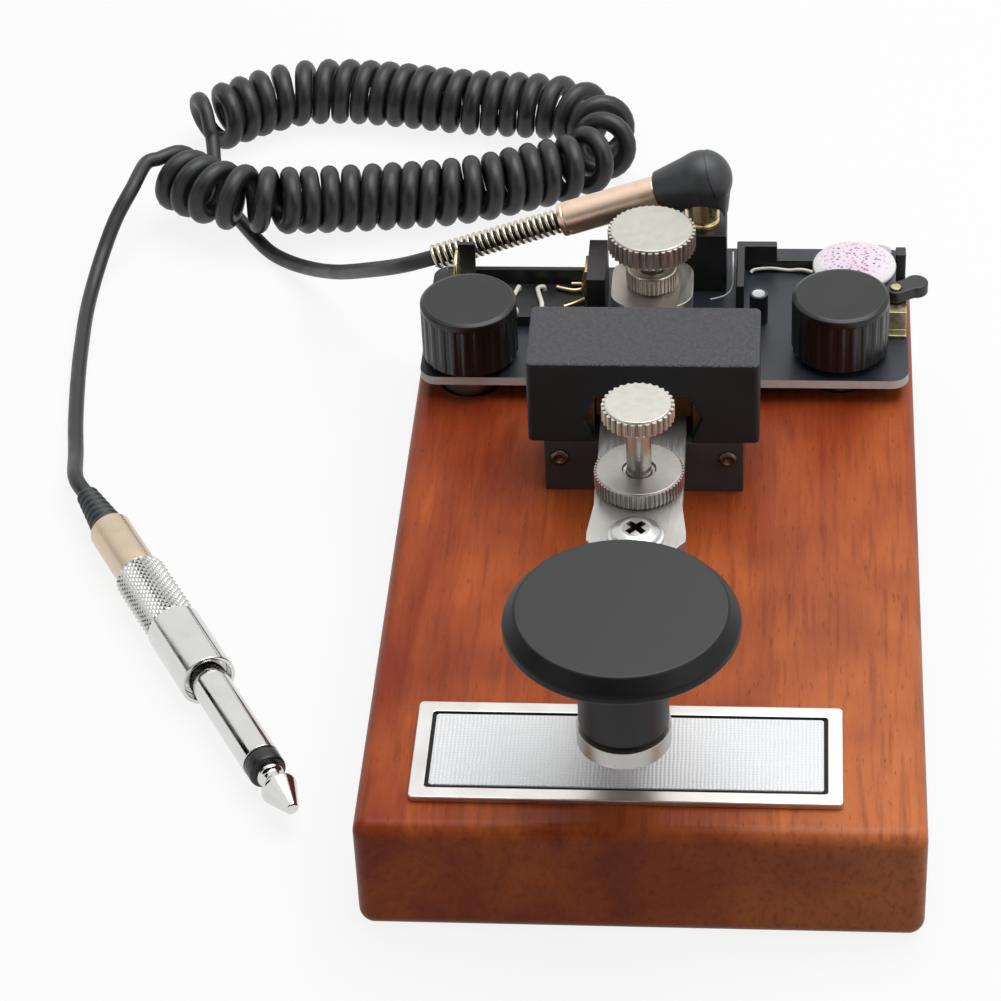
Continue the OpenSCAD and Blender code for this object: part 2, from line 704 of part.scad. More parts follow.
module pivot_block() {
  color("#26272a") difference() {
    union() {
      translate([key_x - block_w / 2, bridge_y - cover_d / 2, base_h])
        cube([block_w, cover_d, foot_h]);
      translate([key_x - block_w / 2, bridge_y - block_d / 2, base_h])
        cube([block_w, block_d, foot_h + cheek_h]);
    }
    translate([key_x - slot_w / 2, bridge_y - cover_d, cover_z]) cube([slot_w, 2 * cover_d, cover_h]);
    translate([key_x, bridge_y, axle_z]) cross_bar(bush_r, block_w + 2 * cut);
    for (side = [-1, 1]) {
      block_screw_place(side) translate([0, 0, -block_screw_l - seat_gap])
        cylinder(r = block_screw_r + seat_gap, h = block_screw_l + cut);
      translate([key_x + side * block_bolt_x, bridge_y, base_h - cut])
        cylinder(r = bolt_r + seat_gap, h = bolt_grip + cut + seat_gap);
    }
  }
}

module bridge_cover() {
  color("#2b2d31") translate([key_x, bridge_y, cover_z]) difference() {
    linear_extrude(cover_h) rounded_sheet(cover_w, cover_d, cover_corner_r);
    translate([-block_w / 2 - seat_gap, -block_d / 2 - seat_gap, -cut])
      cube([block_w + 2 * seat_gap, block_d + 2 * seat_gap, cheek_h + cut]);
    rotate([90, 0, 0]) linear_extrude(2 * cover_d, center = true)
      polygon([[-window_flat / 2, -cut], [window_flat / 2, -cut], [window_w / 2, window_mid],
        [window_flat / 2, window_h], [-window_flat / 2, window_h], [-window_w / 2, window_mid]]);
  }
}

module block_screws() {
  color("#4a4a4c") for (side = [-1, 1]) block_screw_place(side)
    headed_screw(block_screw_head_r, block_screw_head_h, block_screw_r, block_screw_l);
}

module axle_bushes() {
  color("#b08d57") for (side = [-1, 1])
    translate([key_x + side * (slot_w + cheek_w) / 2, bridge_y, axle_z]) difference() {
      cross_bar(bush_r, cheek_w);
      cross_bar(axle_r + run_gap, cheek_w + 2 * cut);
    }
}

module base_bolts() {
  bolts = [[key_x, contact_y, anvil_grip], [key_x - block_bolt_x, bridge_y, bolt_grip],
    [key_x + block_bolt_x, bridge_y, bolt_grip]];
  color("#c4c6c8") for (b = bolts) translate([b[0], b[1], bolt_recess - bolt_head_h]) mirror([0, 0, 1])
    translate([0, 0, -bolt_head_h])
      headed_screw(bolt_head_r, bolt_head_h, bolt_r, base_h - bolt_recess + b[2]);
}

module fixed_contact() {
  color("#c9a24a") translate([key_x, contact_y, base_h]) difference() {
    union() {
      cylinder(r = anvil_flange_r, h = anvil_flange_h);
      cylinder(r = anvil_post_r, h = fixed_face - base_h - contact_tip_h);
      cylinder(r = contact_tip_r, h = fixed_face - base_h);
    }
    translate([0, 0, -cut]) cylinder(r = bolt_r + seat_gap, h = anvil_grip + cut + seat_gap);
  }
}

module spring_cup() {
  color("#c9a24a") translate([key_x, spring_y, base_h]) {
    translate([0, 0, -spigot_l]) cylinder(r = spigot_r, h = spigot_l + cup_floor / 2);
    difference() {
      cylinder(r = cup_r, h = cup_h);
      translate([0, 0, cup_floor]) cylinder(r = cup_r - cup_wall, h = cup_h);
    }
  }
}

module return_spring() {
  color("#b9bcc0") translate([key_x, spring_y, spring_z0]) tube(return_path, spring_wire / 2, coil_sides);
}

module rear_stop() {
  color("#c9a24a") translate([key_x, stop_y, base_h]) {
    translate([0, 0, -spigot_l]) cylinder(r = spigot_r, h = spigot_l + stop_flange_h);
    cylinder(r = stop_flange_r, h = stop_flange_h);
    cylinder(r = stop_post_r, h = stop_face - base_h);
  }
}

module hook_up_wires() {
  color("#2f4f8f") for (run = wire_runs) translate([run[0], 0, 0]) {
    run_start = run[1] + bolt_head_r + face_gap;
    translate([0, run_start, wire_z]) rotate([-90, 0, 0]) cylinder(r = wire_r, h = run[2] - run_start);
    translate([0, run[2], wire_z]) sphere(r = wire_r);
    translate([0, run[2], wire_z]) cylinder(r = wire_r, h = board_z - wire_z);
  }
}

module circuit_board() {
  color("#1b2330") translate([0, 0, board_z]) difference() {
    translate([0, board_y0, 0]) linear_extrude(board_t) {
      translate([0, (board_l - board_notch) / 2])
        rounded_sheet(board_w, board_l - board_notch, board_corner_r);
      translate([(board_notch_x + board_w / 2) / 2, board_l / 2])
        rounded_sheet(board_w / 2 - board_notch_x, board_l, board_corner_r);
    }
    for (side = [-1, 1]) translate([dial_x(side), dial_y(side), -cut])
      cylinder(r = control_bush_r + seat_gap, h = board_t + 2 * cut);
    translate([key_x, stop_y, -cut]) cylinder(r = stop_hole_r, h = board_t + 2 * cut);
    for (p = board_screw_places) translate([p[0], p[1], -cut])
      cylinder(r = board_screw_r + seat_gap, h = board_t + 2 * cut);
  }
}

module board_spacers() {
  color("#d8d8d4") for (p = board_screw_places) translate([p[0], p[1], base_h]) difference() {
    cylinder(r = spacer_r, h = spacer_h);
    translate([0, 0, -cut]) cylinder(r = board_screw_r + seat_gap, h = spacer_h + 2 * cut);
  }
}

module board_screws() {
  color("#b9bcc0") for (p = board_screw_places) translate([p[0], p[1], board_top])
    headed_screw(board_screw_head_r, board_screw_head_h, board_screw_r, board_screw_l);
}

// The two controls, their nuts, shafts and knobs
module control(side) {
  color("#8d8f90") translate([dial_x(side), dial_y(side), 0]) difference() {
    union() {
      translate([0, 0, board_z - can_h]) cylinder(r = can_r, h = can_h);
      translate([0, 0, board_z - cut]) cylinder(r = control_bush_r, h = board_t + control_bush_h + cut);
    }
    translate([0, 0, board_z - shaft_sink - clear_gap])
      cylinder(r = shaft_r + run_gap, h = shaft_sink + board_t + control_bush_h + 2 * cut);
  }
}

module left_pot() {
  control(-1);
}

module right_pot() {
  control(1);
}

module pot_nuts() {
  color("#b9bcc0") for (side = [-1, 1]) translate([dial_x(side), dial_y(side), board_top]) difference() {
    cylinder(r = control_nut_r, h = control_nut_h, $fn = 6);
    translate([0, 0, -cut]) cylinder(r = control_bush_r + seat_gap, h = control_nut_h + 2 * cut);
  }
}

module control_shaft(side) {
  color("#b9bcc0") translate([dial_x(side), dial_y(side), board_z - shaft_sink])
    cylinder(r = shaft_r, h = shaft_sink + board_t + dial_foot_gap + dial_recess_h + shaft_grip);
}

module left_pot_shaft() {
  control_shaft(-1);
}

module right_pot_shaft() {
  control_shaft(1);
}

module dial_knob(side) {
  color("#17181a") translate([dial_x(side), dial_y(side), dial_z]) difference() {
    rotate_extrude() polygon([[0, 0], [dial_r, 0], [dial_r - dial_taper, dial_h - dial_bevel],
      [dial_r - dial_taper - dial_bevel, dial_h], [0, dial_h]]);
    translate([0, 0, -cut]) cylinder(r = dial_recess_r, h = dial_recess_h + cut);
    translate([0, 0, -cut]) cylinder(r = shaft_r + seat_gap, h = dial_recess_h + shaft_grip + seat_gap + cut);
  }
}

module left_knob() {
  dial_knob(-1);
}

module right_knob() {
  dial_knob(1);
}

// Battery tray, jack, sounder, capacitor and switch
module battery_tray() {
  outer_l = tray_x1 - tray_x0 + tray_post;
  inner_l = tray_x1 - tray_x0 - tray_end;
  color("#1d1e20") {
    difference() {
      translate([tray_x0, tray_y - tray_half, board_top]) {
        cube([outer_l, 2 * tray_half, tray_wall_h]);
        translate([outer_l - tray_post, 0, 0]) cube([tray_post, 2 * tray_half, tray_post_h]);
      }
      translate([tray_x0 + tray_end, tray_y - tray_half + tray_wall, board_top + tray_floor])
        cube([inner_l, 2 * (tray_half - tray_wall), tray_post_h]);
      translate([tray_x0 + tray_end + clip_w + tray_wall, tray_y - tray_half - cut, board_top + tray_floor])
        translate([0, 0, tray_lip]) cube([inner_l - clip_w - tray_wall, tray_wall + 2 * cut, tray_post_h]);
      for (x = lead_places, side = [-1, 1]) translate([x, tray_y + side * lead_span / 2, board_top - cut])
        cylinder(r = lead_wire_r + seat_gap, h = tray_floor + 2 * cut);
    }
    intersection() {
      translate([tray_x0 + tray_end + clip_w / 2, tray_y, cell_z]) difference() {
        cross_bar(tray_half, clip_w);
        cross_bar(tray_half - tray_wall, clip_w + 2 * cut);
      }
      translate([tray_x0, tray_y - tray_half, board_top + tray_wall_h - cut])
        cube([clip_w + 2 * tray_end, 2 * tray_half, cell_z + clip_rise - board_top - tray_wall_h + cut]);
    }
  }
}

module battery_contacts() {
  color("#c9a24a") {
    translate([tray_x0 + tray_end + contact_t / 2, tray_y, cell_z])
      cross_bar(cell_r - button_margin, contact_t);
    translate([tray_x1, tray_y + leaf_w / 2, board_top + tray_floor]) rotate([90, 0, 0])
      linear_extrude(leaf_w) polygon([[0, 0], [-contact_t, 0], [-contact_t, leaf_h / 4],
        [-contact_t - leaf_bow, leaf_h / 2], [-contact_t, leaf_h * 3 / 4], [-contact_t, leaf_h],
        [0, leaf_h]]);
  }
}

module battery_wires() {
  wire_top = board_top + tray_floor + lead_wire_r + seat_gap;
  color("#e9e6de") for (x = lead_places) translate([x, tray_y, wire_top]) {
    rotate([90, 0, 0]) cylinder(r = lead_wire_r, h = lead_span, center = true);
    for (side = [-1, 1]) translate([0, side * lead_span / 2, 0]) {
      sphere(r = lead_wire_r);
      translate([0, 0, board_top - wire_top]) cylinder(r = lead_wire_r, h = wire_top - board_top);
    }
  }
}

module phone_jack() {
  color("#141517") translate([jack_x, jack_y, board_top]) difference() {
    translate([-jack_w / 2, -jack_w / 2, 0]) cube([jack_w, jack_w, jack_h]);
    translate([0, 0, jack_h - jack_pin_l - clear_gap]) cylinder(r = jack_pin_r + run_gap, h = jack_h);
  }
}

module sounder_case() {
  color("#1d1e20") translate([sounder_x, sounder_y, board_top])
    cylinder(r = sounder_r, h = sounder_h - sounder_cap_h);
}

module sounder_cap() {
  color("#efe6e6") translate([sounder_x, sounder_y, board_top + sounder_h - sounder_cap_h])
    rotate_extrude() polygon([[0, 0], [sounder_r, 0], [sounder_r, sounder_cap_h - sounder_dome],
      [sounder_r - sounder_dome, sounder_cap_h], [0, sounder_cap_h]]);
}

module sounder_bracket() {
  color("#1d1e20") translate([0, 0, board_top]) {
    translate([bracket_x0, bracket_y1 - bracket_bar_t, 0])
      cube([bracket_block_w, bracket_bar_t, bracket_block_h]);
    translate([bracket_x0, bracket_y1 - bracket_side_l, 0])
      cube([bracket_side_t, bracket_side_l, bracket_block_h]);
    translate([bracket_x0, bracket_y1 - bracket_bar_t, 0])
      cube([bracket_x1 - bracket_x0, bracket_bar_t, bracket_bar_h]);
    translate([bracket_x1 - bracket_post_w, bracket_y1 - bracket_arm_l, 0]) {
      cube([bracket_post_w, bracket_arm_l, bracket_bar_h]);
      cube([bracket_post_w, bracket_post_l, bracket_post_h]);
    }
  }
}

module capacitor() {
  color("#24262a") translate([capacitor_x, capacitor_y, board_top])
    cylinder(r = capacitor_r, h = capacitor_h);
}

module switch_tab() {
  color("#c9a24a") translate([switch_x, switch_y, board_top]) {
    translate([0, 0, switch_rise]) {
      cylinder(r = switch_tab_r, h = switch_tab_t);
      translate([-switch_tab_r, -2 * switch_tab_r, 0])
        cube([2 * switch_tab_r, 2 * switch_tab_r, switch_tab_t]);
      cylinder(r = switch_stud_r, h = switch_tab_t + clear_gap + switch_lever_t + clear_gap);
    }
    translate([-switch_tab_r, -2 * switch_tab_r, 0])
      cube([2 * switch_tab_r, switch_tab_t, switch_rise + switch_tab_t]);
    translate([-switch_tab_r, -2 * switch_tab_r - switch_foot_l, 0])
      cube([2 * switch_tab_r, switch_foot_l + switch_tab_t, switch_tab_t]);
  }
}

module switch_lever() {
  color("#1d1e20") translate([switch_x, switch_y, board_top + switch_rise + switch_tab_t + clear_gap])
    rotate([0, 0, switch_turn]) linear_extrude(switch_lever_t) difference() {
      union() {
        circle(r = switch_hub_r);
        translate([0, -switch_hub_r]) square([switch_reach, 2 * switch_hub_r]);
        translate([switch_reach, 0]) circle(r = switch_end_r);
      }
      circle(r = switch_stud_r + run_gap);
    }
}

// The elbow plug in the jack, and the lead
module along_elbow(s) {
  translate(elbow_at(s)) rotate([0, 90 + elbow_droop, 180]) children();
}

module jack_pin() {
  color("#d8c690") translate([jack_x, jack_y, jack_top]) {
    translate([0, 0, -jack_pin_l]) cylinder(r = jack_pin_r, h = jack_pin_l + cut);
    cylinder(r = ferrule_r, h = elbow_mouth_gap + ferrule_sink);
  }
}

module elbow_hood() {
  mouth_z = jack_top + elbow_mouth_gap;
  color("#202124") difference() {
    union() {
      translate([jack_x, jack_y, elbow_z]) sphere(r = elbow_r);
      translate([jack_x, jack_y, mouth_z])
        cylinder(r1 = elbow_r - hood_taper, r2 = elbow_r, h = elbow_z - mouth_z);
      along_elbow(0) cylinder(r1 = elbow_r, r2 = elbow_barrel_r + hood_lip, h = elbow_face);
    }
    translate([jack_x, jack_y, mouth_z - cut])
      cylinder(r = ferrule_r + seat_gap, h = ferrule_sink + cut + seat_gap);
    translate([jack_x, jack_y, mouth_z]) rotate([90, 0, 0])
      cylinder(r = ferrule_r + arch_room, h = elbow_r + cut);
  }
}

module elbow_barrel() {
  color("#c99a72") along_elbow(elbow_face) cylinder(r = elbow_barrel_r, h = elbow_barrel_l);
}

module strain_spring() {
  color("#c9bfa4") along_elbow(strain_start + strain_wire) tube(strain_path, strain_wire / 2, coil_sides);
}

module jack_lead() {
  color("#1c1d1f") tube(jack_path, cord_r, lead_sides);
}

module curly_cord() {
  color("#232426") tube(curly_path, curl_d / 2, coil_sides);
}

module plug_lead() {
  color("#1c1d1f") tube(plug_path, cord_r, lead_sides);
}

// The large plug: pieces of revolution along its axis, rear end first
module along_plug(s) {
  translate(plug_rear + s * plug_way) rotate([0, 90, plug_turn]) children();
}

module plug_boot() {
  step = plug_boot_l / boot_ribs;
  rib_l = 0.6 * step;
  ribs = [for (i = [0:boot_ribs - 1])
    let (r = boot_r0 + (boot_r1 - boot_r0) * i / (boot_ribs - 1), z = i * step)
      each [[r, z], [r, z + rib_l], [r - rib_depth, z + rib_l], [r - rib_depth, z + step]]];
  color("#1c1d1f") along_plug(0) rotate_extrude() polygon(concat([[0, 0]], ribs, [[0, plug_boot_l]]));
}

module plug_barrel() {
  color("#cdbba0") along_plug(plug_boot_l) cylinder(r = plug_barrel_r, h = plug_barrel_l);
}

module plug_sleeve() {
  color("#c8c9ca") along_plug(plug_boot_l + plug_barrel_l) cylinder(r = plug_sleeve_r, h = plug_sleeve_l);
}

module plug_collar() {
  color("#d2d3d4") along_plug(collar_end - plug_collar_l) difference() {
    cylinder(r = plug_collar_r, h = plug_collar_l);
    translate([0, 0, plug_collar_l - mouth_depth])
      cylinder(r = plug_collar_r - collar_wall, h = mouth_depth + cut);
  }
}

module plug_shaft() {
  color("#d8d9da") along_plug(collar_end - mouth_depth)
    cylinder(r = plug_shaft_r, h = plug_shaft_l + mouth_depth);
}

module plug_ring() {
  color("#18191b") along_plug(shaft_end) cylinder(r = plug_shaft_r - plug_ring_gap, h = plug_ring_l);
}

module plug_tip() {
  neck_l = 2.4;
  swell_l = 1.8;
  color("#d8d9da")
    along_plug(shaft_end + plug_ring_l) rotate_extrude() polygon([[0, 0], [plug_neck_r, 0],
      [plug_neck_r, neck_l], [plug_cone_r, neck_l + swell_l], [plug_point_r, plug_tip_l], [0, plug_tip_l]]);
}

// The lever and what it carries
module lever() {
  neck_y = bridge_y + hub_d / 2;
  half_outline = [[tongue_w / 2, knob_y], [tongue_w / 2, contact_y - shoulder_l],
    [lever_flare_w / 2, contact_y - flare_flat], [lever_flare_w / 2, contact_y + flare_flat],
    [lever_w / 2, contact_y + flare_l], [lever_w / 2, neck_y], [lever_neck_w / 2, neck_y + neck_taper],
    [lever_neck_w / 2, stop_y]];
  last = len(half_outline) - 1;
  color("#c3c4c4") translate([key_x, 0, lever_z]) linear_extrude(lever_t) difference() {
    union() {
      translate([0, knob_y]) circle(r = pad_r);
      polygon(concat(half_outline, [for (i = [last:-1:0]) [-half_outline[i][0], half_outline[i][1]]]));
      translate([0, stop_y]) rounded_sheet(lever_w, 2 * lever_tail, lever_corner_r);
    }
    translate([0, knob_y]) circle(r = knob_bolt_r + seat_gap);
    translate([0, contact_y]) circle(r = contact_r + seat_gap);
    for (y = [spring_y, stop_y]) translate([0, y]) circle(r = screw_r + run_gap);
    for (side = [-1, 1]) translate([0, bridge_y + side * hub_screw_y]) circle(r = hub_screw_r + seat_gap);
  }
}

module finger_knob() {
  foot = knob_h - disc_t;
  color("#2a2b2d") translate([key_x, knob_y, lever_top]) difference() {
    rotate_extrude() polygon([[0, 0], [stem_r, 0], [stem_r, foot - stem_fillet], [stem_r + stem_fillet, foot],
      [disc_r - disc_foot_bevel, foot], [disc_r, foot + disc_foot_rise], [disc_r, foot + disc_t / 2],
      [disc_face_r, knob_h], [0, knob_h]]);
    translate([0, 0, -cut]) cylinder(r = knob_bolt_r + seat_gap, h = knob_bolt_l + cut + seat_gap);
  }
}

module knob_bolt() {
  color("#c4c6c8") translate([key_x, knob_y, lever_z]) mirror([0, 0, 1])
    headed_screw(knob_bolt_head_r, knob_bolt_head_h, knob_bolt_r, lever_t + knob_bolt_l);
}

module contact_screw() {
  dome_r = (contact_head_r * contact_head_r + contact_head_h * contact_head_h) / (2 * contact_head_h);
  color("#d2d3d4") translate([key_x, contact_y, 0]) {
    translate([0, 0, lever_top]) intersection() {
      cylinder(r = contact_head_r, h = contact_head_h);
      translate([0, 0, contact_head_h - dome_r]) sphere(r = dome_r);
    }
    translate([0, 0, lever_z - cut / 2]) cylinder(r = contact_r, h = lever_t + cut);
    translate([0, 0, lever_z - contact_collar_h]) cylinder(r = contact_collar_r, h = contact_collar_h);
    translate([0, 0, moving_face]) cylinder(r = contact_tip_r, h = contact_tip_h + contact_collar_h);
  }
}

module lever_hub() {
  color("#b08d57") translate([key_x, bridge_y, lever_top]) difference() {
    translate([-hub_w / 2, -hub_d / 2, 0]) cube([hub_w, hub_d, hub_h]);
    translate([0, 0, axle_rise]) cross_bar(axle_r, hub_w + 2 * cut);
    for (side = [-1, 1]) translate([0, side * hub_screw_y, -cut])
      cylinder(r = hub_screw_r + seat_gap, h = hub_h + 2 * cut);
  }
}

module hub_screws() {
  color("#b9bcc0") for (side = [-1, 1]) translate([key_x, bridge_y + side * hub_screw_y, lever_top + hub_h])
    headed_screw(hub_screw_head_r, hub_screw_head_h, hub_screw_r, hub_h + lever_t);
}

module pivot_axle() {
  color("#b9bcc0") translate([key_x, bridge_y, axle_z]) cross_bar(axle_r, block_w - 2 * axle_end_gap);
}

module spring_cap() {
  color("#c9a24a") translate([key_x, spring_y, cap_top - cap_t]) {
    cylinder(r = cap_r, h = cap_t);
    translate([0, 0, -cap_pilot_h]) cylinder(r = cap_pilot_r, h = cap_pilot_h + cap_t / 2);
  }
}

// Adjusting screws and their lock nuts
module thumbscrew(y, tip_z, neck_z, head_r, head_t) {
  color("#c9c8c2") translate([key_x, y, 0]) {
    translate([0, 0, tip_z]) cylinder(r = screw_r, h = neck_z - tip_z + cut / 2);
    translate([0, 0, neck_z]) cylinder(r = collar_r, h = collar_t + cut / 2);
    translate([0, 0, neck_z + collar_t]) cylinder(r = head_r, h = head_t);
  }
}

module lock_nut(y, r, t) {
  color("#a9a9a6") translate([key_x, y, lever_top + face_gap]) difference() {
    cylinder(r = r, h = t);
    translate([0, 0, -cut]) cylinder(r = screw_r + run_gap, h = t + 2 * cut);
    translate([0, 0, t - nut_recess_h]) cylinder(r = nut_recess_r, h = nut_recess_h + cut);
  }
}

module front_thumbscrew() {
  thumbscrew(spring_y, front_tip_z, front_neck_z, front_head_r, front_head_t);
}

module front_locknut() {
  lock_nut(spring_y, front_nut_r, front_nut_t);
}

module rear_thumbscrew() {
  thumbscrew(stop_y, stop_tip_z, rear_neck_z, rear_head_r, rear_head_t);
}

module rear_locknut() {
  lock_nut(stop_y, rear_nut_r, rear_nut_t);
}

wood_base();
name_plate();
plate_panel();
pivot_block();
bridge_cover();
block_screws();
axle_bushes();
base_bolts();
fixed_contact();
spring_cup();
return_spring();
rear_stop();
hook_up_wires();
circuit_board();
board_spacers();
board_screws();
left_pot();
right_pot();
pot_nuts();
battery_tray();
battery_contacts();
battery_wires();
phone_jack();
sounder_case();
sounder_cap();
sounder_bracket();
capacitor();
switch_tab();
jack_pin();
elbow_hood();
elbow_barrel();
strain_spring();
jack_lead();
curly_cord();
plug_lead();
plug_boot();
plug_barrel();
plug_sleeve();
plug_collar();
plug_shaft();
plug_ring();
plug_tip();
lever();
finger_knob();
knob_bolt();
contact_screw();
lever_hub();
hub_screws();
pivot_axle();
spring_cap();
front_thumbscrew();
front_locknut();
rear_thumbscrew();
rear_locknut();
left_knob();
right_knob();
left_pot_shaft();
right_pot_shaft();
switch_lever();
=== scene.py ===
import json
from math import cos, pi, radians, sin, tau

import bmesh
import bpy
from mathutils import Matrix, Vector

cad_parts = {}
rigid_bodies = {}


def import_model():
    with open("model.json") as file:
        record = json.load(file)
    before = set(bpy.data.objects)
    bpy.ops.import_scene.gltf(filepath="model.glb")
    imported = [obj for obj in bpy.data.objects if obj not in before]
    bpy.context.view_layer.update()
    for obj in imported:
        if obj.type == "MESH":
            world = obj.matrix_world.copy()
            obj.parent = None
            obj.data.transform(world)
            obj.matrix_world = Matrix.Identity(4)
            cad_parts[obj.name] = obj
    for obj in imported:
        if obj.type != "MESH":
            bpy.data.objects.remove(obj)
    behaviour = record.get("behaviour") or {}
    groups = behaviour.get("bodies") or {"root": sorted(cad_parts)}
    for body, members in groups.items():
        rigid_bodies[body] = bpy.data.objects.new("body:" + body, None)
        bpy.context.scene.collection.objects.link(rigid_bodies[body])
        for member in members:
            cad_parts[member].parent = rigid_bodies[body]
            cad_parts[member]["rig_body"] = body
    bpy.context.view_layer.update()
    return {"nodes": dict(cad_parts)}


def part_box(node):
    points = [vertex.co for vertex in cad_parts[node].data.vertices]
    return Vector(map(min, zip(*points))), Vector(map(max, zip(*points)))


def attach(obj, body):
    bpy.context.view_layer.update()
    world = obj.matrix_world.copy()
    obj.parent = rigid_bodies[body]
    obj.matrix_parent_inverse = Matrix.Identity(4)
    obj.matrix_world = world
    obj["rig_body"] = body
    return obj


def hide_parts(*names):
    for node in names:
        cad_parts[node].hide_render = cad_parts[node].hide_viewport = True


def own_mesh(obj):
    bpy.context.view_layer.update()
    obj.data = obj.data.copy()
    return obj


for thing in list(bpy.data.objects):
    bpy.data.objects.remove(thing)
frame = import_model()
nodes = frame["nodes"]

# Camera: the photograph's viewpoint, about half a metre in front of the knob and looking down on it,
# fitted to the edges of the base. The picture is square, on a sensor 36 mm wide.
mm = 0.001
picture_px = 1001
focal_px = 3530
sensor_mm = 36
camera_place = Vector((20.8, -450.0, 378.7)) * mm
camera_pitch, camera_yaw, camera_roll = radians(38.05), radians(-5.84), radians(-2.89)
ahead = Vector((sin(camera_yaw) * cos(camera_pitch), cos(camera_yaw) * cos(camera_pitch), -sin(camera_pitch)))
level = Vector((cos(camera_yaw), -sin(camera_yaw), 0))
upright = level.cross(ahead)
camera_right = cos(camera_roll) * level + sin(camera_roll) * upright
camera_up = cos(camera_roll) * upright - sin(camera_roll) * level
camera_data = bpy.data.cameras.new("camera")
camera_data.sensor_width = sensor_mm
camera_data.lens = sensor_mm * focal_px / picture_px


def shown(name, data):
    """A new object in the scene, made of that data."""
    made = bpy.data.objects.new(name, data)
    bpy.context.scene.collection.objects.link(made)
    return made


camera = shown("camera", camera_data)
camera.matrix_world = Matrix.Translation(camera_place) @ Matrix(
    (camera_right, camera_up, -ahead)).transposed().to_4x4()
bpy.context.scene.camera = camera


def linear(colour):
    """An sRGB hex value as the linear colour that a shader's socket takes."""
    parts = [int(colour[i:i + 2], 16) / 255 for i in (1, 3, 5)]
    return (*(c / 12.92 if c <= 0.04045 else ((c + 0.055) / 1.055) ** 2.4 for c in parts), 1)


def add(tree, kind, sockets=None, **settings):
    """Adds a node. Sockets take a value, or another node's output to link."""
    made = tree.nodes.new(kind)
    for name, value in settings.items():
        setattr(made, name, value)
    for key, value in (sockets or {}).items():
        if isinstance(value, bpy.types.NodeSocket):
            tree.links.new(value, made.inputs[key])
        else:
            made.inputs[key].default_value = value
    return made


def new_finish(name, **constants):
    """A material with its constant values on the shader's own sockets, and its tree and shader."""
    material = bpy.data.materials.new(name)
    material.use_nodes = True
    shader = material.node_tree.nodes["Principled BSDF"]
    for socket, value in constants.items():
        shader.inputs[socket.replace("_", " ")].default_value = value
    return material, material.node_tree, shader


def surface(tree, shader, colour, polish, height, depth):
    """Links a finish's colour, its roughness and its relief, raised by depth in millimetres, to its shader."""
    raised = add(tree, "ShaderNodeBump", {"Height": height, "Distance": depth * mm})
    for socket, value in (("Base Color", colour), ("Roughness", polish), ("Normal", raised.outputs["Normal"])):
        tree.links.new(value, shader.inputs[socket])


def worn(name, colours, patch, rough, grain, depth, **constants):
    """A material with the small unevenness of a made surface: patches between two colours and two
    roughnesses, and a fine grain raised by depth. Sizes are in millimetres, on Object coordinates."""
    material, tree, shader = new_finish(name, **constants)
    spot = add(tree, "ShaderNodeTexCoord").outputs["Object"]
    patches = add(tree, "ShaderNodeTexNoise", {"Vector": spot, "Scale": 1 / (patch * mm), "Detail": 3})
    tint = add(tree, "ShaderNodeMix", {"Factor": patches.outputs["Fac"], 6: linear(colours[0]),
                                       7: linear(colours[1])}, data_type="RGBA")
    polish = add(tree, "ShaderNodeMapRange", {"Value": patches.outputs["Fac"], "From Min": 0.3,
                                              "From Max": 0.7, "To Min": rough[0], "To Max": rough[1]})
    grains = add(tree, "ShaderNodeTexNoise", {"Vector": spot, "Scale": 1 / (grain * mm), "Detail": 2})
    surface(tree, shader, tint.outputs[2], polish.outputs["Result"], grains.outputs["Fac"], depth)
    return material


def rounded(points, size, steps=3):
    """The line through points with its inner corners rounded off by about that size."""
    points = [Vector(p) for p in points]
    line = [points[0]]
    for before, corner, after in zip(points, points[1:], points[2:]):
        reach = min(size, (before - corner).length * 0.45, (after - corner).length * 0.45)
        start = corner + (before - corner).normalized() * reach
        end = corner + (after - corner).normalized() * reach
        for k in range(steps + 1):
            t = k / steps
            line.append((1 - t) ** 2 * start + 2 * t * (1 - t) * corner + t * t * end)
    return line + [points[-1]]


def turned(profile, axis, sides=96):
    """A solid of revolution, from (radius, height) in millimetres along the axis matrix, foot first."""
    made = bmesh.new()
    rings = []
    for radius, height in profile:
        angles = [tau * k / sides for k in range(sides)] if radius > 0 else [0]
        rings.append([made.verts.new((radius * cos(a) * mm, radius * sin(a) * mm, height * mm))
                      for a in angles])
    for lower, upper in zip(rings, rings[1:]):
        for k in range(sides):
            corners = [lower[k % len(lower)], lower[(k + 1) % len(lower)],
                       upper[(k + 1) % len(upper)], upper[k % len(upper)]]
            corners = list(dict.fromkeys(corners))
            if len(corners) > 2:
                made.faces.new(corners)
    bmesh.ops.recalc_face_normals(made, faces=made.faces)
    bmesh.ops.transform(made, matrix=axis, verts=made.verts)
    return made


def as_mesh(shape, name):
    """The mesh of a shape, which is used up."""
    mesh = bpy.data.meshes.new(name)
    shape.to_mesh(mesh)
    shape.free()
    return mesh


crease = radians(50)


def place(name, shape, material, *stands_for):
    """Makes a shape a finished piece, on the body of the CAD nodes that it stands for, which it hides."""
    mesh = as_mesh(shape, name) if isinstance(shape, bmesh.types.BMesh) else shape
    mesh.shade_smooth()
    mesh.set_sharp_from_angle(angle=crease)
    if mesh.materials:
        mesh.materials.clear()
    for each in material if isinstance(material, tuple) else (material,):
        mesh.materials.append(each)
    made = shown(name, mesh)
    made.modifiers.new("even_shading", "WEIGHTED_NORMAL").keep_sharp = True
    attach(made, nodes[stands_for[0]]["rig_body"])
    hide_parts(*stands_for)
    return made


def settled(made):
    """The plain mesh of an object and its modifiers. The object itself is taken away."""
    bpy.context.view_layer.update()
    mesh = bpy.data.meshes.new_from_object(made.evaluated_get(bpy.context.evaluated_depsgraph_get()))
    bpy.data.objects.remove(made)
    return mesh


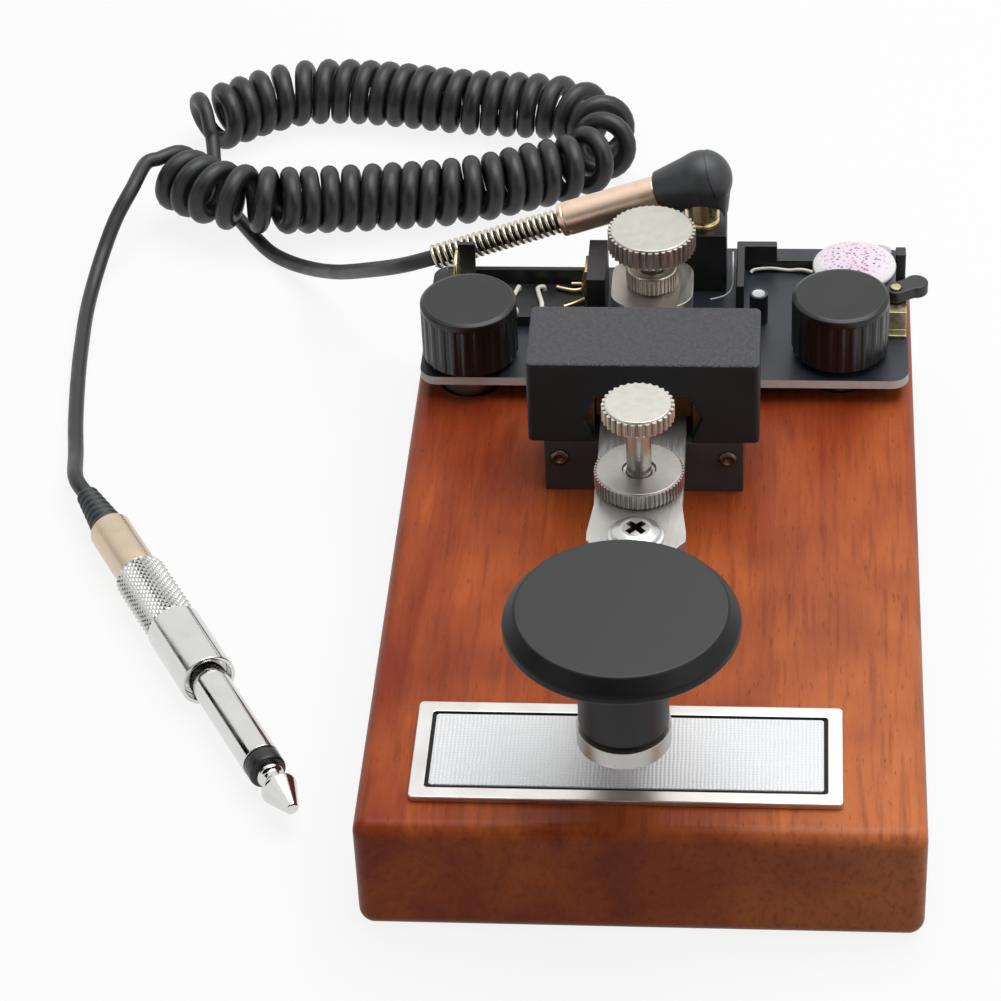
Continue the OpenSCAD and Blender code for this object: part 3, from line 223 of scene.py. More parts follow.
def grown(shape, tree, **sizes):
    """The plain mesh that a Geometry Nodes tree makes of a shape, with its named sizes set first."""
    made = shown("start", as_mesh(shape or bmesh.new(), "start"))
    modifier = made.modifiers.new("made_by_nodes", "NODES")
    modifier.node_group = tree
    for item in tree.interface.items_tree:
        if item.item_type == "SOCKET" and item.in_out == "INPUT" and item.name in sizes:
            modifier[item.identifier] = sizes[item.name]
    return settled(made)


def new_tree(name, **inputs):
    """An empty Geometry Nodes tree with named inputs, and its group input and output nodes."""
    tree = bpy.data.node_groups.new(name, "GeometryNodeTree")
    tree.interface.new_socket("Geometry", in_out="OUTPUT", socket_type="NodeSocketGeometry")
    tree.interface.new_socket("Geometry", in_out="INPUT", socket_type="NodeSocketGeometry")
    for label, kind in inputs.items():
        tree.interface.new_socket(label, in_out="INPUT", socket_type="NodeSocket" + kind)
    return tree, add(tree, "NodeGroupInput").outputs, add(tree, "NodeGroupOutput")


def bearing(tree):
    """The angle of each point round the axis."""
    split = add(tree, "ShaderNodeSeparateXYZ", {0: add(tree, "GeometryNodeInputPosition").outputs[0]})
    return add(tree, "ShaderNodeMath", {0: split.outputs["Y"], 1: split.outputs["X"]},
               operation="ARCTAN2").outputs[0]


def set_round(tree, given, result, instances, height):
    """Ends a tree: its instances are made solid, lifted to their height, joined to the shape that they are
    set round, and given their material."""
    solid = add(tree, "GeometryNodeRealizeInstances", {"Geometry": instances})
    lift = add(tree, "ShaderNodeCombineXYZ", {"Z": height})
    seated = add(tree, "GeometryNodeTransform", {"Geometry": solid.outputs["Geometry"],
                                                 "Translation": lift.outputs[0]})
    whole = add(tree, "GeometryNodeJoinGeometry", {"Geometry": given["Geometry"]})
    tree.links.new(seated.outputs["Geometry"], whole.inputs["Geometry"])
    plated = add(tree, "GeometryNodeSetMaterial", {"Geometry": whole.outputs["Geometry"],
                                                   "Material": given["Material"]})
    tree.links.new(plated.outputs["Geometry"], result.inputs["Geometry"])


plug_rear, plug_turn = Vector((-99.8, 25.4, 4.75)), radians(-60)
plug_axis = (Matrix.Translation(plug_rear * mm) @ Matrix.Rotation(plug_turn, 4, "Z")
             @ Matrix.Rotation(radians(90), 4, "Y"))
barrel_s, sleeve_s, collar_s, mouth_s = 11, 25, 40.8, 53.8
front_s, ring_s, neck_s, point_s = 55.8, 77.8, 80.8, 90.4
collar_r, sleeve_r, barrel_r, shaft_r = 4.7, 4.5, 3.65, 3.175

# Moulded PVC: near black and satin, with soft grey lights along its upper side.
soft_black = worn("moulded_pvc", ("#2a2b2d", "#383a3c"), patch=6, rough=(0.38, 0.5), grain=0.35,
                  depth=0.012, Specular_IOR_Level=0.5)

boot_ribs, boot_rear_r, boot_swell, rib_depth = 7, 2.0, 0.95, 0.35
boot_profile = [(0, 0), (1.6, 0)]
for i in range(boot_ribs):
    rib_r = boot_rear_r + boot_swell * i / (boot_ribs - 1)
    rib_s = barrel_s * i / boot_ribs
    rib_l = barrel_s / boot_ribs
    boot_profile += [(rib_r - rib_depth, rib_s), (rib_r, rib_s + 0.25 * rib_l), (rib_r, rib_s + 0.6 * rib_l),
                     (rib_r - rib_depth, rib_s + 0.8 * rib_l)]
boot_profile += [(2.6, barrel_s), (0, barrel_s)]
place("ribbed_boot", turned(rounded(boot_profile, 0.3), plug_axis, 48), soft_black, "plug_boot")

# Champagne plating on turned brass: warm and satin, with a faint uneven bloom.
champagne = worn("champagne_plating", ("#cdb89f", "#dac8b1"), patch=3, rough=(0.24, 0.32), grain=0.2,
                 depth=0.003, Metallic=1)
place("champagne_barrel", turned(rounded(
    [(0, barrel_s), (3.2, barrel_s), (barrel_r, barrel_s + 0.35), (barrel_r, sleeve_s), (0, sleeve_s)], 0.2),
    plug_axis), champagne, "plug_barrel")

# Bright nickel plating: a clear mirror, hazed in small patches.
bright_nickel = worn("bright_nickel_plating", ("#cfd0cf", "#e0e0dd"), patch=4, rough=(0.07, 0.18),
                     grain=0.3, depth=0.002, Metallic=1)

# Knurled nickel: the same plating over fine pyramids, each of which takes its own light.
knurled_nickel = worn("knurled_nickel", ("#c3c4c3", "#dcdcd8"), patch=3, rough=(0.2, 0.34), grain=0.3,
                      depth=0.002, Metallic=1)

# The knurl: rows of four-sided pyramids round the sleeve, every second row turned by half a step.
knurl, given, result = new_tree("diamond_knurl", Radius="Float", Length="Float", Around="Int", Rows="Int",
                                Height="Float", Start="Float", Material="Material")
rows = add(knurl, "GeometryNodeMeshCylinder", {"Vertices": given["Around"], "Radius": given["Radius"],
                                               "Depth": given["Length"], "Side Segments": given["Rows"]},
           fill_type="NONE")
row = add(knurl, "ShaderNodeMath", {0: add(knurl, "GeometryNodeInputIndex").outputs[0], 1: given["Around"]},
          operation="DIVIDE")
row = add(knurl, "ShaderNodeMath", {0: row.outputs[0]}, operation="FLOOR")
odd = add(knurl, "ShaderNodeMath", {0: row.outputs[0], 1: 2.0}, operation="MODULO")
half_step = add(knurl, "ShaderNodeMath", {0: pi, 1: given["Around"]}, operation="DIVIDE").outputs[0]
shift = add(knurl, "ShaderNodeMath", {0: odd.outputs[0], 1: half_step}, operation="MULTIPLY")
spot = add(knurl, "GeometryNodeInputPosition").outputs[0]
staggered = add(knurl, "ShaderNodeVectorRotate", {"Vector": spot, "Angle": shift.outputs[0]},
                rotation_type="Z_AXIS")
rows = add(knurl, "GeometryNodeSetPosition", {"Geometry": rows.outputs["Mesh"],
                                              "Position": staggered.outputs[0]})
facing = add(knurl, "ShaderNodeCombineXYZ", {"X": 0.0, "Y": pi / 2, "Z": bearing(knurl)})
reach = add(knurl, "ShaderNodeMath", {0: given["Length"], 1: given["Rows"]}, operation="DIVIDE")
width = add(knurl, "ShaderNodeMath", {0: half_step, 1: given["Radius"]}, operation="MULTIPLY")
size = add(knurl, "ShaderNodeCombineXYZ", {"X": reach.outputs[0], "Y": width.outputs[0], "Z": given["Height"]})
pyramid = add(knurl, "GeometryNodeMeshCone", {"Vertices": 4, "Radius Top": 0.0, "Radius Bottom": 1.0,
                                              "Depth": 1.0}, fill_type="NONE")
pyramids = add(knurl, "GeometryNodeInstanceOnPoints", {
    "Points": rows.outputs["Geometry"], "Instance": pyramid.outputs["Mesh"], "Rotation": facing.outputs[0],
    "Scale": size.outputs[0]})
set_round(knurl, given, result, pyramids.outputs["Instances"], given["Start"])

knurl_h, knurl_margin, knurl_around, knurl_rows = 0.3, 0.9, 28, 24
core_r = sleeve_r - knurl_h
sleeve_core = turned(rounded(
    [(0, sleeve_s), (core_r - 0.6, sleeve_s), (core_r, sleeve_s + 0.7), (core_r, collar_s - 0.5),
     (core_r - 0.5, collar_s), (0, collar_s)], 0.2), Matrix())
sleeve_mesh = grown(sleeve_core, knurl, Radius=core_r * mm, Around=knurl_around, Rows=knurl_rows,
                    Length=(collar_s - sleeve_s - 2 * knurl_margin) * mm, Height=knurl_h * mm,
                    Start=(sleeve_s + collar_s) / 2 * mm, Material=knurled_nickel)
sleeve_mesh.transform(plug_axis)
place("knurled_sleeve", sleeve_mesh, knurled_nickel, "plug_sleeve")

collar_wall = 0.7
place("open_collar", turned(rounded(
    [(0, collar_s), (collar_r, collar_s), (collar_r, front_s), (collar_r - collar_wall, front_s),
     (collar_r - collar_wall, mouth_s), (0, mouth_s)], 0.2), plug_axis), bright_nickel, "plug_collar")
place("polished_shaft", turned(rounded(
    [(0, mouth_s), (shaft_r, mouth_s), (shaft_r, ring_s), (0, ring_s)], 0.15), plug_axis), bright_nickel,
    "plug_shaft")

# Acetal: a hard black plastic, turned, with a satin skin.
acetal = worn("black_acetal", ("#121314", "#1c1d1e"), patch=2, rough=(0.3, 0.42), grain=0.2, depth=0.004)
place("insulating_ring", turned(rounded(
    [(0, ring_s), (shaft_r - 0.12, ring_s), (shaft_r - 0.12, neck_s), (0, neck_s)], 0.45), plug_axis), acetal,
    "plug_ring")
place("plug_point", turned(rounded(
    [(0, neck_s), (2.2, neck_s), (2.2, neck_s + 1.0), (1.7, neck_s + 1.5), (1.7, neck_s + 2.6),
     (2.95, neck_s + 3.9), (3.0, neck_s + 4.4), (1.0, point_s), (0, point_s)], 0.25), plug_axis), bright_nickel,
    "plug_tip")

# Lead: one round PVC cable from the elbow plug to the large plug. It leaves the strain spring, drops behind
# the base, passes under the coil, goes round the coil's curls and comes back along the table. Its last
# 45 mm are inside the large plug, where its wires are soldered.
cord_d, curl_d = 2.8, 3.62
curl_r, curl_pitch = 4.75, 3.7
cord_r, curl_foot = cord_d / 2, 1.83
tail_l, loosen_l, loose_pitch, leave_step, most_bend, feel = cord_d, 14, 8.5, 1, 0.11, 3
curl_steps, fine_steps, route_steps, lead_sides = 8, 3, 8, 14
coil_route = [(-98.2, 120.8, 2.4), (-93.2, 116.4, 2.9), (-87.7, 112.5, 3.4), (-81.9, 110.8, 3.5),
              (-76.6, 111.5, 2.7), (-70.2, 113.9, 1.3), (-61.9, 116.3, 0.2), (-53.7, 117.5, 0),
              (-45.1, 118.7, 0), (-36.8, 121, 0), (-28.6, 124.7, 0), (-21, 128, 0), (-16.2, 133, 0),
              (-15.1, 139.5, 0), (-18, 145.5, 0), (-24.6, 149.4, 0), (-34, 150.8, 0), (-44, 151.8, 0),
              (-53.5, 153.6, 0), (-61, 154.9, 0), (-69, 155.6, 0), (-77.1, 154.8, 0), (-84, 151.6, 0),
              (-90, 147.4, 0), (-95.2, 143.4, 0), (-99.4, 140.2, 0)]
jack_route = [(-47.7, 65, 26.2), (-54.3, 72.7, 20), (-61.3, 83, 12.4), (-67.5, 93.4, 5.8), (-73, 100.2, 2.6),
              (-77.4, 105, 1.5), (-81, 109.8, 1.5), (-84.4, 115.2, 1.5), (-88, 121, 1.6), (-91, 127, 2.2)]
plug_route = [(-104.2, 110.1, 12.6), (-106.8, 105.2, 9.2), (-108.9, 99.4, 5), (-110, 92, 2.2), (-110, 84, 1.5),
              (-109.3, 75, 1.5), (-108.3, 65, 1.5), (-106.6, 52, 1.5), (-104.6, 40.6, 2.3)]
elbow_crossing = Vector((6, 63.5, 45.7))
elbow_droop = radians(19.3)
elbow_way = Vector((-cos(elbow_droop), 0, -sin(elbow_droop)))
strain_start, strain_end, lead_inside = 26, 51.03, 12
plug_way = Vector((cos(plug_turn), sin(plug_turn), 0))
side_up = Vector((0, 0, 1))


def smooth_route(points, steps):
    """Points along the smooth curve that passes through the given ones."""
    points = [Vector(p) for p in points]
    last = len(points) - 1
    line = []
    for i in range(last):
        a, b, c, d = points[max(i - 1, 0)], points[i], points[i + 1], points[min(i + 2, last)]
        for k in range(steps):
            t = k / steps
            line.append(0.5 * (2 * b + (c - a) * t + (2 * a - 5 * b + 4 * c - d) * t * t
                               + (3 * b - a - 3 * c + d) * t ** 3))
    return line + [points[last]]


track = smooth_route(coil_route, route_steps)
track_run = [0]
for before, after in zip(track, track[1:]):
    track_run.append(track_run[-1] + (after - before).length)
track_l = track_run[-1]


def track_at(s):
    """The point of the coil's axis at distance s, with its lift as z."""
    s = max(0, min(track_l, s))
    i = max(k for k in range(len(track) - 1) if track_run[k] <= s)
    return track[i].lerp(track[i + 1], (s - track_run[i]) / (track_run[i + 1] - track_run[i]))


def plan_at(s):
    """The point of the table under the coil's axis at distance s."""
    return track_at(s).xy.to_3d()


def plan_way(s):
    """The way that the coil's axis runs there, felt a little before and after."""
    s = max(0, min(track_l, s))
    return (plan_at(s + feel) - plan_at(s - feel)).normalized()


def ease(t):
    """A share from 0 to 1 with a soft start and end."""
    t = max(0, min(1, t))
    return t * t * (3 - 2 * t)


def pitch_at(s):
    """Distance to the next curl: wider on the outside of a bend, and opening towards the loose end."""
    q = max(3 * feel, s)
    bend = (plan_way(q + feel) - plan_way(q - feel)).length / (2 * feel)
    looseness = ease((s - (track_l - loosen_l)) / loosen_l)
    return curl_pitch / (1 - curl_r * min(bend, most_bend)) * (1 - looseness) + loose_pitch * looseness


def curl_point(s, turn):
    """The cable's middle at distance s along the axis and at that turn round it."""
    lift = curl_foot + curl_r + track_at(s).z + curl_r * cos(turn)
    return plan_at(s) + lift * side_up - curl_r * sin(turn) * plan_way(s).cross(side_up)


def curl_way(s, turn):
    """The way that the cable runs there."""
    round_way = cos(turn) * plan_way(s).cross(side_up) + sin(turn) * side_up
    return (plan_way(s) - curl_r * tau / pitch_at(s) * round_way).normalized()


curl_s = [0]
while curl_s[-1] + pitch_at(curl_s[-1]) / curl_steps < track_l:
    curl_s.append(curl_s[-1] + pitch_at(curl_s[-1]) / curl_steps)
curl_last = curl_steps * ((len(curl_s) - 1 - leave_step) // curl_steps) + leave_step
curls = []
for i in range(curl_last):
    for k in range(fine_steps):
        share = k / fine_steps
        s = curl_s[i] + (curl_s[i + 1] - curl_s[i]) * share
        curls.append(curl_point(s, tau * (i + share) / curl_steps))
curls.append(curl_point(curl_s[curl_last], tau * curl_last / curl_steps))
curl_in_way = curl_way(0, 0)
curl_entry = curls[0] - tail_l * curl_in_way
curl_out_way = curl_way(curl_s[curl_last], tau * curl_last / curl_steps)
curl_exit = curls[-1] + tail_l * curl_out_way
in_spring = [elbow_crossing + s * elbow_way for s in (strain_start, strain_start + lead_inside, strain_end)]
jack_path = smooth_route(in_spring + jack_route + [curl_exit + tail_l * curl_out_way, curl_exit], route_steps)
plug_path = smooth_route([curl_entry, curl_entry - tail_l * curl_in_way] + plug_route
                         + [plug_rear - 2 * tail_l * plug_way, plug_rear], route_steps)
plug_inside, inside_step = 45, 3
inside_path = [plug_rear + s * plug_way for s in range(inside_step, plug_inside + 1, inside_step)]
lead_path = [p * mm for p in jack_path + curls[::-1] + plug_path + inside_path]

# The cable thickens to the curls' width over its first and last few points in the coil.
swell_points = 10
lead_radii = []
for i in range(len(lead_path)):
    inside = min(i - len(jack_path), len(jack_path) + len(curls) - i)
    lead_radii.append((cord_r + (curl_d - cord_d) / 2 * ease(inside / swell_points)) * mm)


def swept(path, radii, sides):
    """A tube along the path, with its length in metres and its turn round the axis as its UV map."""
    made = bmesh.new()
    uv = made.loops.layers.uv.new("along")
    last = len(path) - 1
    ways = [(path[min(i + 1, last)] - path[max(i - 1, 0)]).normalized() for i in range(last + 1)]
    side = ways[0].cross(side_up if abs(ways[0].z) < 0.8 else Vector((1, 0, 0))).normalized()
    rings, run, at = [], [], 0
    for i, (point, way) in enumerate(zip(path, ways)):
        side = (side - side.dot(way) * way).normalized()
        other = way.cross(side)
        turns = [tau * k / sides for k in range(sides)]
        rings.append([made.verts.new(point + radii[i] * (cos(a) * side + sin(a) * other)) for a in turns])
        at += (point - path[max(i - 1, 0)]).length
        run.append(at)
    for i in range(last):
        for k in range(sides):
            n = (k + 1) % sides
            wall = made.faces.new((rings[i][k], rings[i][n], rings[i + 1][n], rings[i + 1][k]))
            corners = ((run[i], k), (run[i], k + 1), (run[i + 1], k + 1), (run[i + 1], k))
            for loop, (u, v) in zip(wall.loops, corners):
                loop[uv].uv = (u, v / sides)
    made.faces.new(rings[0][::-1])
    made.faces.new(rings[last])
    return made


# Extruded PVC: black and satin, a little dusty in long patches along the cable.
cable_pvc, tree, shader = new_finish("extruded_pvc")
along = add(tree, "ShaderNodeUVMap", uv_map="along").outputs["UV"]
stretched = add(tree, "ShaderNodeMapping", {"Vector": along, "Scale": (1 / (4 * mm), 4, 1)}).outputs["Vector"]
dust = add(tree, "ShaderNodeTexNoise", {"Vector": stretched, "Scale": 1, "Detail": 4}).outputs["Fac"]
tint = add(tree, "ShaderNodeMix", {"Factor": dust, 6: linear("#1a1b1c"), 7: linear("#28292b")},
           data_type="RGBA")
polish = add(tree, "ShaderNodeMapRange", {"Value": dust, "From Min": 0.3, "From Max": 0.7, "To Min": 0.34,
                                          "To Max": 0.5})
skin = add(tree, "ShaderNodeTexNoise", {"Vector": add(tree, "ShaderNodeTexCoord").outputs["Object"],
                                        "Scale": 1 / (0.5 * mm), "Detail": 2})
surface(tree, shader, tint.outputs[2], polish.outputs["Result"], skin.outputs["Fac"], depth=0.01)

lead = place("lead", swept(lead_path, lead_radii, lead_sides), cable_pvc, "curly_cord", "jack_lead",
             "plug_lead")

# Elbow plug: a moulded right-angle plug in the board's jack, with a gilt ferrule in its mouth, a rose-gold
# barrel and a strain spring of steel wire round the lead behind it.
elbow_axis = (Matrix.Translation(elbow_crossing * mm) @ Matrix.Rotation(pi, 4, "Z")
              @ Matrix.Rotation(radians(90) + elbow_droop, 4, "Y"))
barrel_s0, elbow_barrel_r = 8, 3

# Rose-gold plating on turned brass: pink, satin on top and darker where it faces down.
rose_gold = worn("rose_gold_plating", ("#e6c4ab", "#f1d8c3"), patch=3, rough=(0.3, 0.36), grain=0.2,
                 depth=0.003, Metallic=1)
place("rose_gold_barrel", turned(rounded(
    [(0, barrel_s0), (elbow_barrel_r - 0.2, barrel_s0), (elbow_barrel_r, barrel_s0 + 0.3),
     (elbow_barrel_r, strain_start - 1.2), (elbow_barrel_r - 0.15, strain_start - 1.1),
     (elbow_barrel_r - 0.15, strain_start - 0.9), (elbow_barrel_r, strain_start - 0.8),
     (elbow_barrel_r - 0.1, strain_start), (0, strain_start)], 0.12), elbow_axis), rose_gold, "elbow_barrel")

# Pale gold plating: thin and bright, over brass.
pale_gold = worn("pale_gold_plating", ("#d8bf83", "#ecdcae"), patch=2, rough=(0.22, 0.34), grain=0.2,
                 depth=0.003, Metallic=1)
jack_top, ferrule_top, pin_l, pin_r, ferrule_r = 36.8, 42.4, 9, 1.75, 3
jack_axis = Matrix.Translation(Vector((elbow_crossing.x, elbow_crossing.y, 0)) * mm)
place("ferrule_and_pin", turned(rounded(
    [(0, jack_top - pin_l), (pin_r, jack_top - pin_l), (pin_r, jack_top), (ferrule_r, jack_top),
     (ferrule_r, jack_top + 0.9), (ferrule_r - 0.3, jack_top + 1.1), (ferrule_r - 0.3, jack_top + 1.4),
     (ferrule_r, jack_top + 1.6), (ferrule_r, ferrule_top), (0, ferrule_top)], 0.15), jack_axis), pale_gold,
    "jack_pin")


def blended(node, voxel, passes):
    """A copy of a CAD node with the corners between its solids run together, as in a soft moulding."""
    made = shown("moulding", nodes[node].data.copy())
    made.modifiers.new("weld", "WELD").merge_threshold = 1e-6
    remesh = made.modifiers.new("remesh", "REMESH")
    remesh.mode = "VOXEL"
    remesh.voxel_size = voxel * mm
    smooth = made.modifiers.new("smooth", "SMOOTH")
    smooth.factor = 0.5
    smooth.iterations = passes
    return settled(made)


def joined(*shapes):
    """Several shapes as one."""
    whole = shapes[0]
    for shape in shapes[1:]:
        extra = as_mesh(shape, "extra")
        whole.from_mesh(extra)
        bpy.data.meshes.remove(extra)
    return whole


hood_shape = bmesh.new()
hood_shape.from_mesh(blended("elbow_hood", 0.2, 8))
end_r, end_s = 5.25, -1.9
end_cap = [(0, -end_r)] + [(end_r * sin(radians(a)), -end_r * cos(radians(a))) for a in range(6, 67, 6)]
end_cap += [(end_cap[-1][0] - 0.5, end_s), (0, end_s)]
place("elbow_moulding", joined(hood_shape, turned(end_cap, elbow_axis, 64)), soft_black, "elbow_hood")

# Spring steel, drawn and nickelled: a thin bright line along each turn.
spring_steel = worn("nickelled_spring_wire", ("#c2b99f", "#ddd6c2"), patch=2, rough=(0.2, 0.32), grain=0.2,
                    depth=0.002, Metallic=1)

spring_tree, given, result = new_tree("wire_spring", Turns="Float", Radius="Float", Rise="Float", Wire="Float",
                                      Material="Material")
spiral = add(spring_tree, "GeometryNodeCurveSpiral", {
    "Resolution": 24, "Rotations": given["Turns"], "Start Radius": given["Radius"],
    "End Radius": given["Radius"], "Height": given["Rise"], "Reverse": True})
section = add(spring_tree, "GeometryNodeCurvePrimitiveCircle", {"Resolution": 10, "Radius": given["Wire"]})
coil = add(spring_tree, "GeometryNodeCurveToMesh", {
    "Curve": spiral.outputs["Curve"], "Profile Curve": section.outputs["Curve"], "Fill Caps": True})
solid = add(spring_tree, "GeometryNodeRealizeInstances", {"Geometry": coil.outputs["Mesh"]})
drawn = add(spring_tree, "GeometryNodeSetMaterial", {"Geometry": solid.outputs["Geometry"],
                                                     "Material": given["Material"]})
spring_tree.links.new(drawn.outputs["Geometry"], result.inputs["Geometry"])

strain_wire, strain_r, strain_turns, strain_pitch = 0.65, 1.925, 21, 1.13
strain_mesh = grown(None, spring_tree, Turns=float(strain_turns), Radius=strain_r * mm,
                    Rise=strain_turns * strain_pitch * mm, Wire=strain_wire / 2 * mm, Material=spring_steel)
strain_mesh.transform(elbow_axis @ Matrix.Translation((0, 0, (strain_start + strain_wire) * mm)))
place("strain_relief_spring", strain_mesh, spring_steel, "strain_spring")

# Wooden base: a solid block of mahogany with rounded edges, stained red-brown and varnished. Its grain
# runs from front to rear, and its pockets and grooves are cut from above and below.

# Varnished mahogany: broad bands, fine figure and short dark pores along the grain under a thin soft gloss,
# with painted light, paler at the front right, and painted shade, darker towards the rear.
mahogany, tree, shader = new_finish("varnished_mahogany", Specular_IOR_Level=0.14, Coat_Weight=0.05,
                                    Coat_Roughness=0.2)
spot = add(tree, "ShaderNodeTexCoord").outputs["Object"]
grains = []
for widths, noise in (((11, 70, 14), {"Detail": 5, "Roughness": 0.6, "Distortion": 0.6}),
                      ((1.1, 15, 1.6), {"Detail": 3}), ((0.4, 2.4, 0.5), {"Detail": 2})):
    along_grain = add(tree, "ShaderNodeMapping", {"Vector": spot, "Scale": [1 / (w * mm) for w in widths]})
    grains.append(add(tree, "ShaderNodeTexNoise", {"Vector": along_grain.outputs["Vector"], "Scale": 1,
                                                   **noise}).outputs["Fac"])
bands, figure, pores = grains
clouds = add(tree, "ShaderNodeTexNoise", {"Vector": spot, "Scale": 1 / (22 * mm), "Detail": 3}).outputs["Fac"]
across = add(tree, "ShaderNodeSeparateXYZ", {0: spot}).outputs
shares = []
for value, start, end, least, most in (
        (bands, 0.32, 0.68, 0, 1), (across["X"], -5 * mm, 45 * mm, 0, 0.62),
        (across["Y"], -30 * mm, 30 * mm, 1, 0), (across["Y"], -10 * mm, 30 * mm, 0, 0.4),
        (clouds, 0.42, 0.7, 0, 0.55), (figure, 0.5, 0.75, 0, 0.5), (pores, 0.64, 0.76, 0, 0.45),
        (bands, 0.3, 0.7, 0.34, 0.48)):
    shares.append(add(tree, "ShaderNodeMapRange", {"Value": value, "From Min": start, "From Max": end,
                                                   "To Min": least, "To Max": most}).outputs["Result"])
# The paler front right is painted light, and the darker rear is painted shade from the board.
banded, painted_light_right, painted_light_front, painted_shade_rear, clouded, streaked, pored, polish = shares
painted_light_pool = add(tree, "ShaderNodeMath", {0: painted_light_right, 1: painted_light_front}, operation="MULTIPLY").outputs[0]
stain = linear("#893013")
for share, colour in ((banded, "#c0622f"), (painted_light_pool, "#d98550"), (painted_shade_rear, "#7e2a12"),
                      (clouded, "#7a2c17"), (streaked, "#6a2611"), (pored, "#40170d")):
    stain = add(tree, "ShaderNodeMix", {"Factor": share, 6: stain, 7: linear(colour)},
                data_type="RGBA").outputs[2]
grain_height = add(tree, "ShaderNodeMath", {0: figure, 1: pored}, operation="SUBTRACT").outputs[0]
surface(tree, shader, stain, polish, grain_height, depth=0.09)


def coat(node, material):
    """Gives a CAD node that stays in view its material."""
    nodes[node].data.materials.clear()
    nodes[node].data.materials.append(material)


coat("wood_base", mahogany)

# Name plate: a bright metal tray with a bare panel let into it, stuck to the wood in front of the knob.
# The panel is rolled with a linen pattern, and a dark line of painted shade runs round it where the two meet.


def dressed(node, *edges):
    """A copy of a CAD node with its loose triangles joined and its sharp edges rounded. Each of edges is a
    width in millimetres, and a test of which edges take it by the place of their middle."""
    made = bmesh.new()
    made.from_mesh(nodes[node].data)
    bmesh.ops.remove_doubles(made, verts=made.verts, dist=1e-6)
    bmesh.ops.dissolve_limit(made, angle_limit=radians(0.5), verts=made.verts, edges=made.edges)
    sharp = [e for e in made.edges if len(e.link_faces) == 2 and e.calc_face_angle() > radians(30)]
    chosen = {e: next((width for width, test in edges if test((e.verts[0].co + e.verts[1].co) / 2 / mm)), 0)
              for e in sharp}
    for width, test in edges:
        taken = [e for e in sharp if e.is_valid and chosen[e] == width]
        if taken:
            bmesh.ops.bevel(made, geom=taken, offset=width * mm, segments=3, profile=0.5, affect="EDGES",
                            clamp_overlap=True)
    return made


def anywhere(middle):
    """The test that every edge passes."""
    return True


# Polished stainless steel: pale, with bright lights that a faint haze softens.
stainless = worn("polished_stainless", ("#c6c3c0", "#d3d1ce"), patch=6, rough=(0.28, 0.36), grain=0.25,
                 depth=0.002, Metallic=1)

# Painted shade: a matt near-black on the floor of the groove that is left round the panel.
painted_groove_shade = worn("painted_groove_shade_black", ("#1d1c1b", "#2a2826"), patch=1, rough=(0.6, 0.7), grain=0.2, depth=0.004,
              Specular_IOR_Level=0.2)
plate_low, plate_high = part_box("name_plate")
panel_low, panel_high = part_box("plate_panel")
groove_reach = 0.9 * mm
border_shape = dressed("name_plate", (0.2, anywhere))
# The faces on the groove's floor take the painted shade.
for face in border_shape.faces:
    middle = face.calc_center_median()
    inside = (panel_low.x - groove_reach < middle.x < panel_high.x + groove_reach
              and panel_low.y - groove_reach < middle.y < panel_high.y + groove_reach)
    face.material_index = 1 if inside and plate_low.z + 0.05 * mm < middle.z < plate_high.z - 0.1 * mm else 0
place("plate_border", border_shape, (stainless, painted_groove_shade), "name_plate")

# Linen-rolled aluminium: pale and lightly lacquered, with a raised thread every 0.6 mm each way.
linen, tree, shader = new_finish("linen_rolled_aluminium", Metallic=0.2)
spot = add(tree, "ShaderNodeTexCoord").outputs["Object"]
drift = add(tree, "ShaderNodeTexNoise", {"Vector": spot, "Scale": 1 / (2.5 * mm), "Detail": 3})
warped = add(tree, "ShaderNodeMix", {"Factor": 0.0004, 4: spot, 5: drift.outputs["Color"]}, data_type="VECTOR")
thread = 0.6
threads = [add(tree, "ShaderNodeTexWave", {"Vector": warped.outputs[1], "Scale": tau / 20 / (thread * mm),
                                           "Distortion": 0.0}, bands_direction=direction) for direction in "XY"]
weave = add(tree, "ShaderNodeMath", {0: threads[0].outputs["Fac"], 1: threads[1].outputs["Fac"]},
            operation="MULTIPLY").outputs[0]
shaded = add(tree, "ShaderNodeMath", {0: weave, 1: drift.outputs["Fac"]}, operation="MULTIPLY").outputs[0]
tint = add(tree, "ShaderNodeMix", {"Factor": shaded, 6: linear("#dadbdd"), 7: linear("#f7f7f6")},
           data_type="RGBA")
polish = add(tree, "ShaderNodeMapRange", {"Value": drift.outputs["Fac"], "To Min": 0.28, "To Max": 0.5})
surface(tree, shader, tint.outputs[2], polish.outputs["Result"], weave, depth=0.06)
panel_shape = dressed("plate_panel", (0.12, anywhere))
panel_middle = (panel_low + panel_high) / 2
panel_gap = 0.5 * mm
panel_size = panel_high - panel_low
narrower = (1 - 2 * panel_gap / panel_size.x, 1 - 2 * panel_gap / panel_size.y, 1)
bmesh.ops.translate(panel_shape, vec=-panel_middle, verts=panel_shape.verts)
bmesh.ops.scale(panel_shape, vec=narrower, verts=panel_shape.verts)
bmesh.ops.translate(panel_shape, vec=panel_middle, verts=panel_shape.verts)
place("linen_panel", panel_shape, linen, "plate_panel")

# Bridge: a black pivot block bolted to the base, with a folded cover over it that the lever runs through.
# Two small screws close the block in front, and bronze bushes in its cheeks carry the axle.
cover_low, cover_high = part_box("bridge_cover")

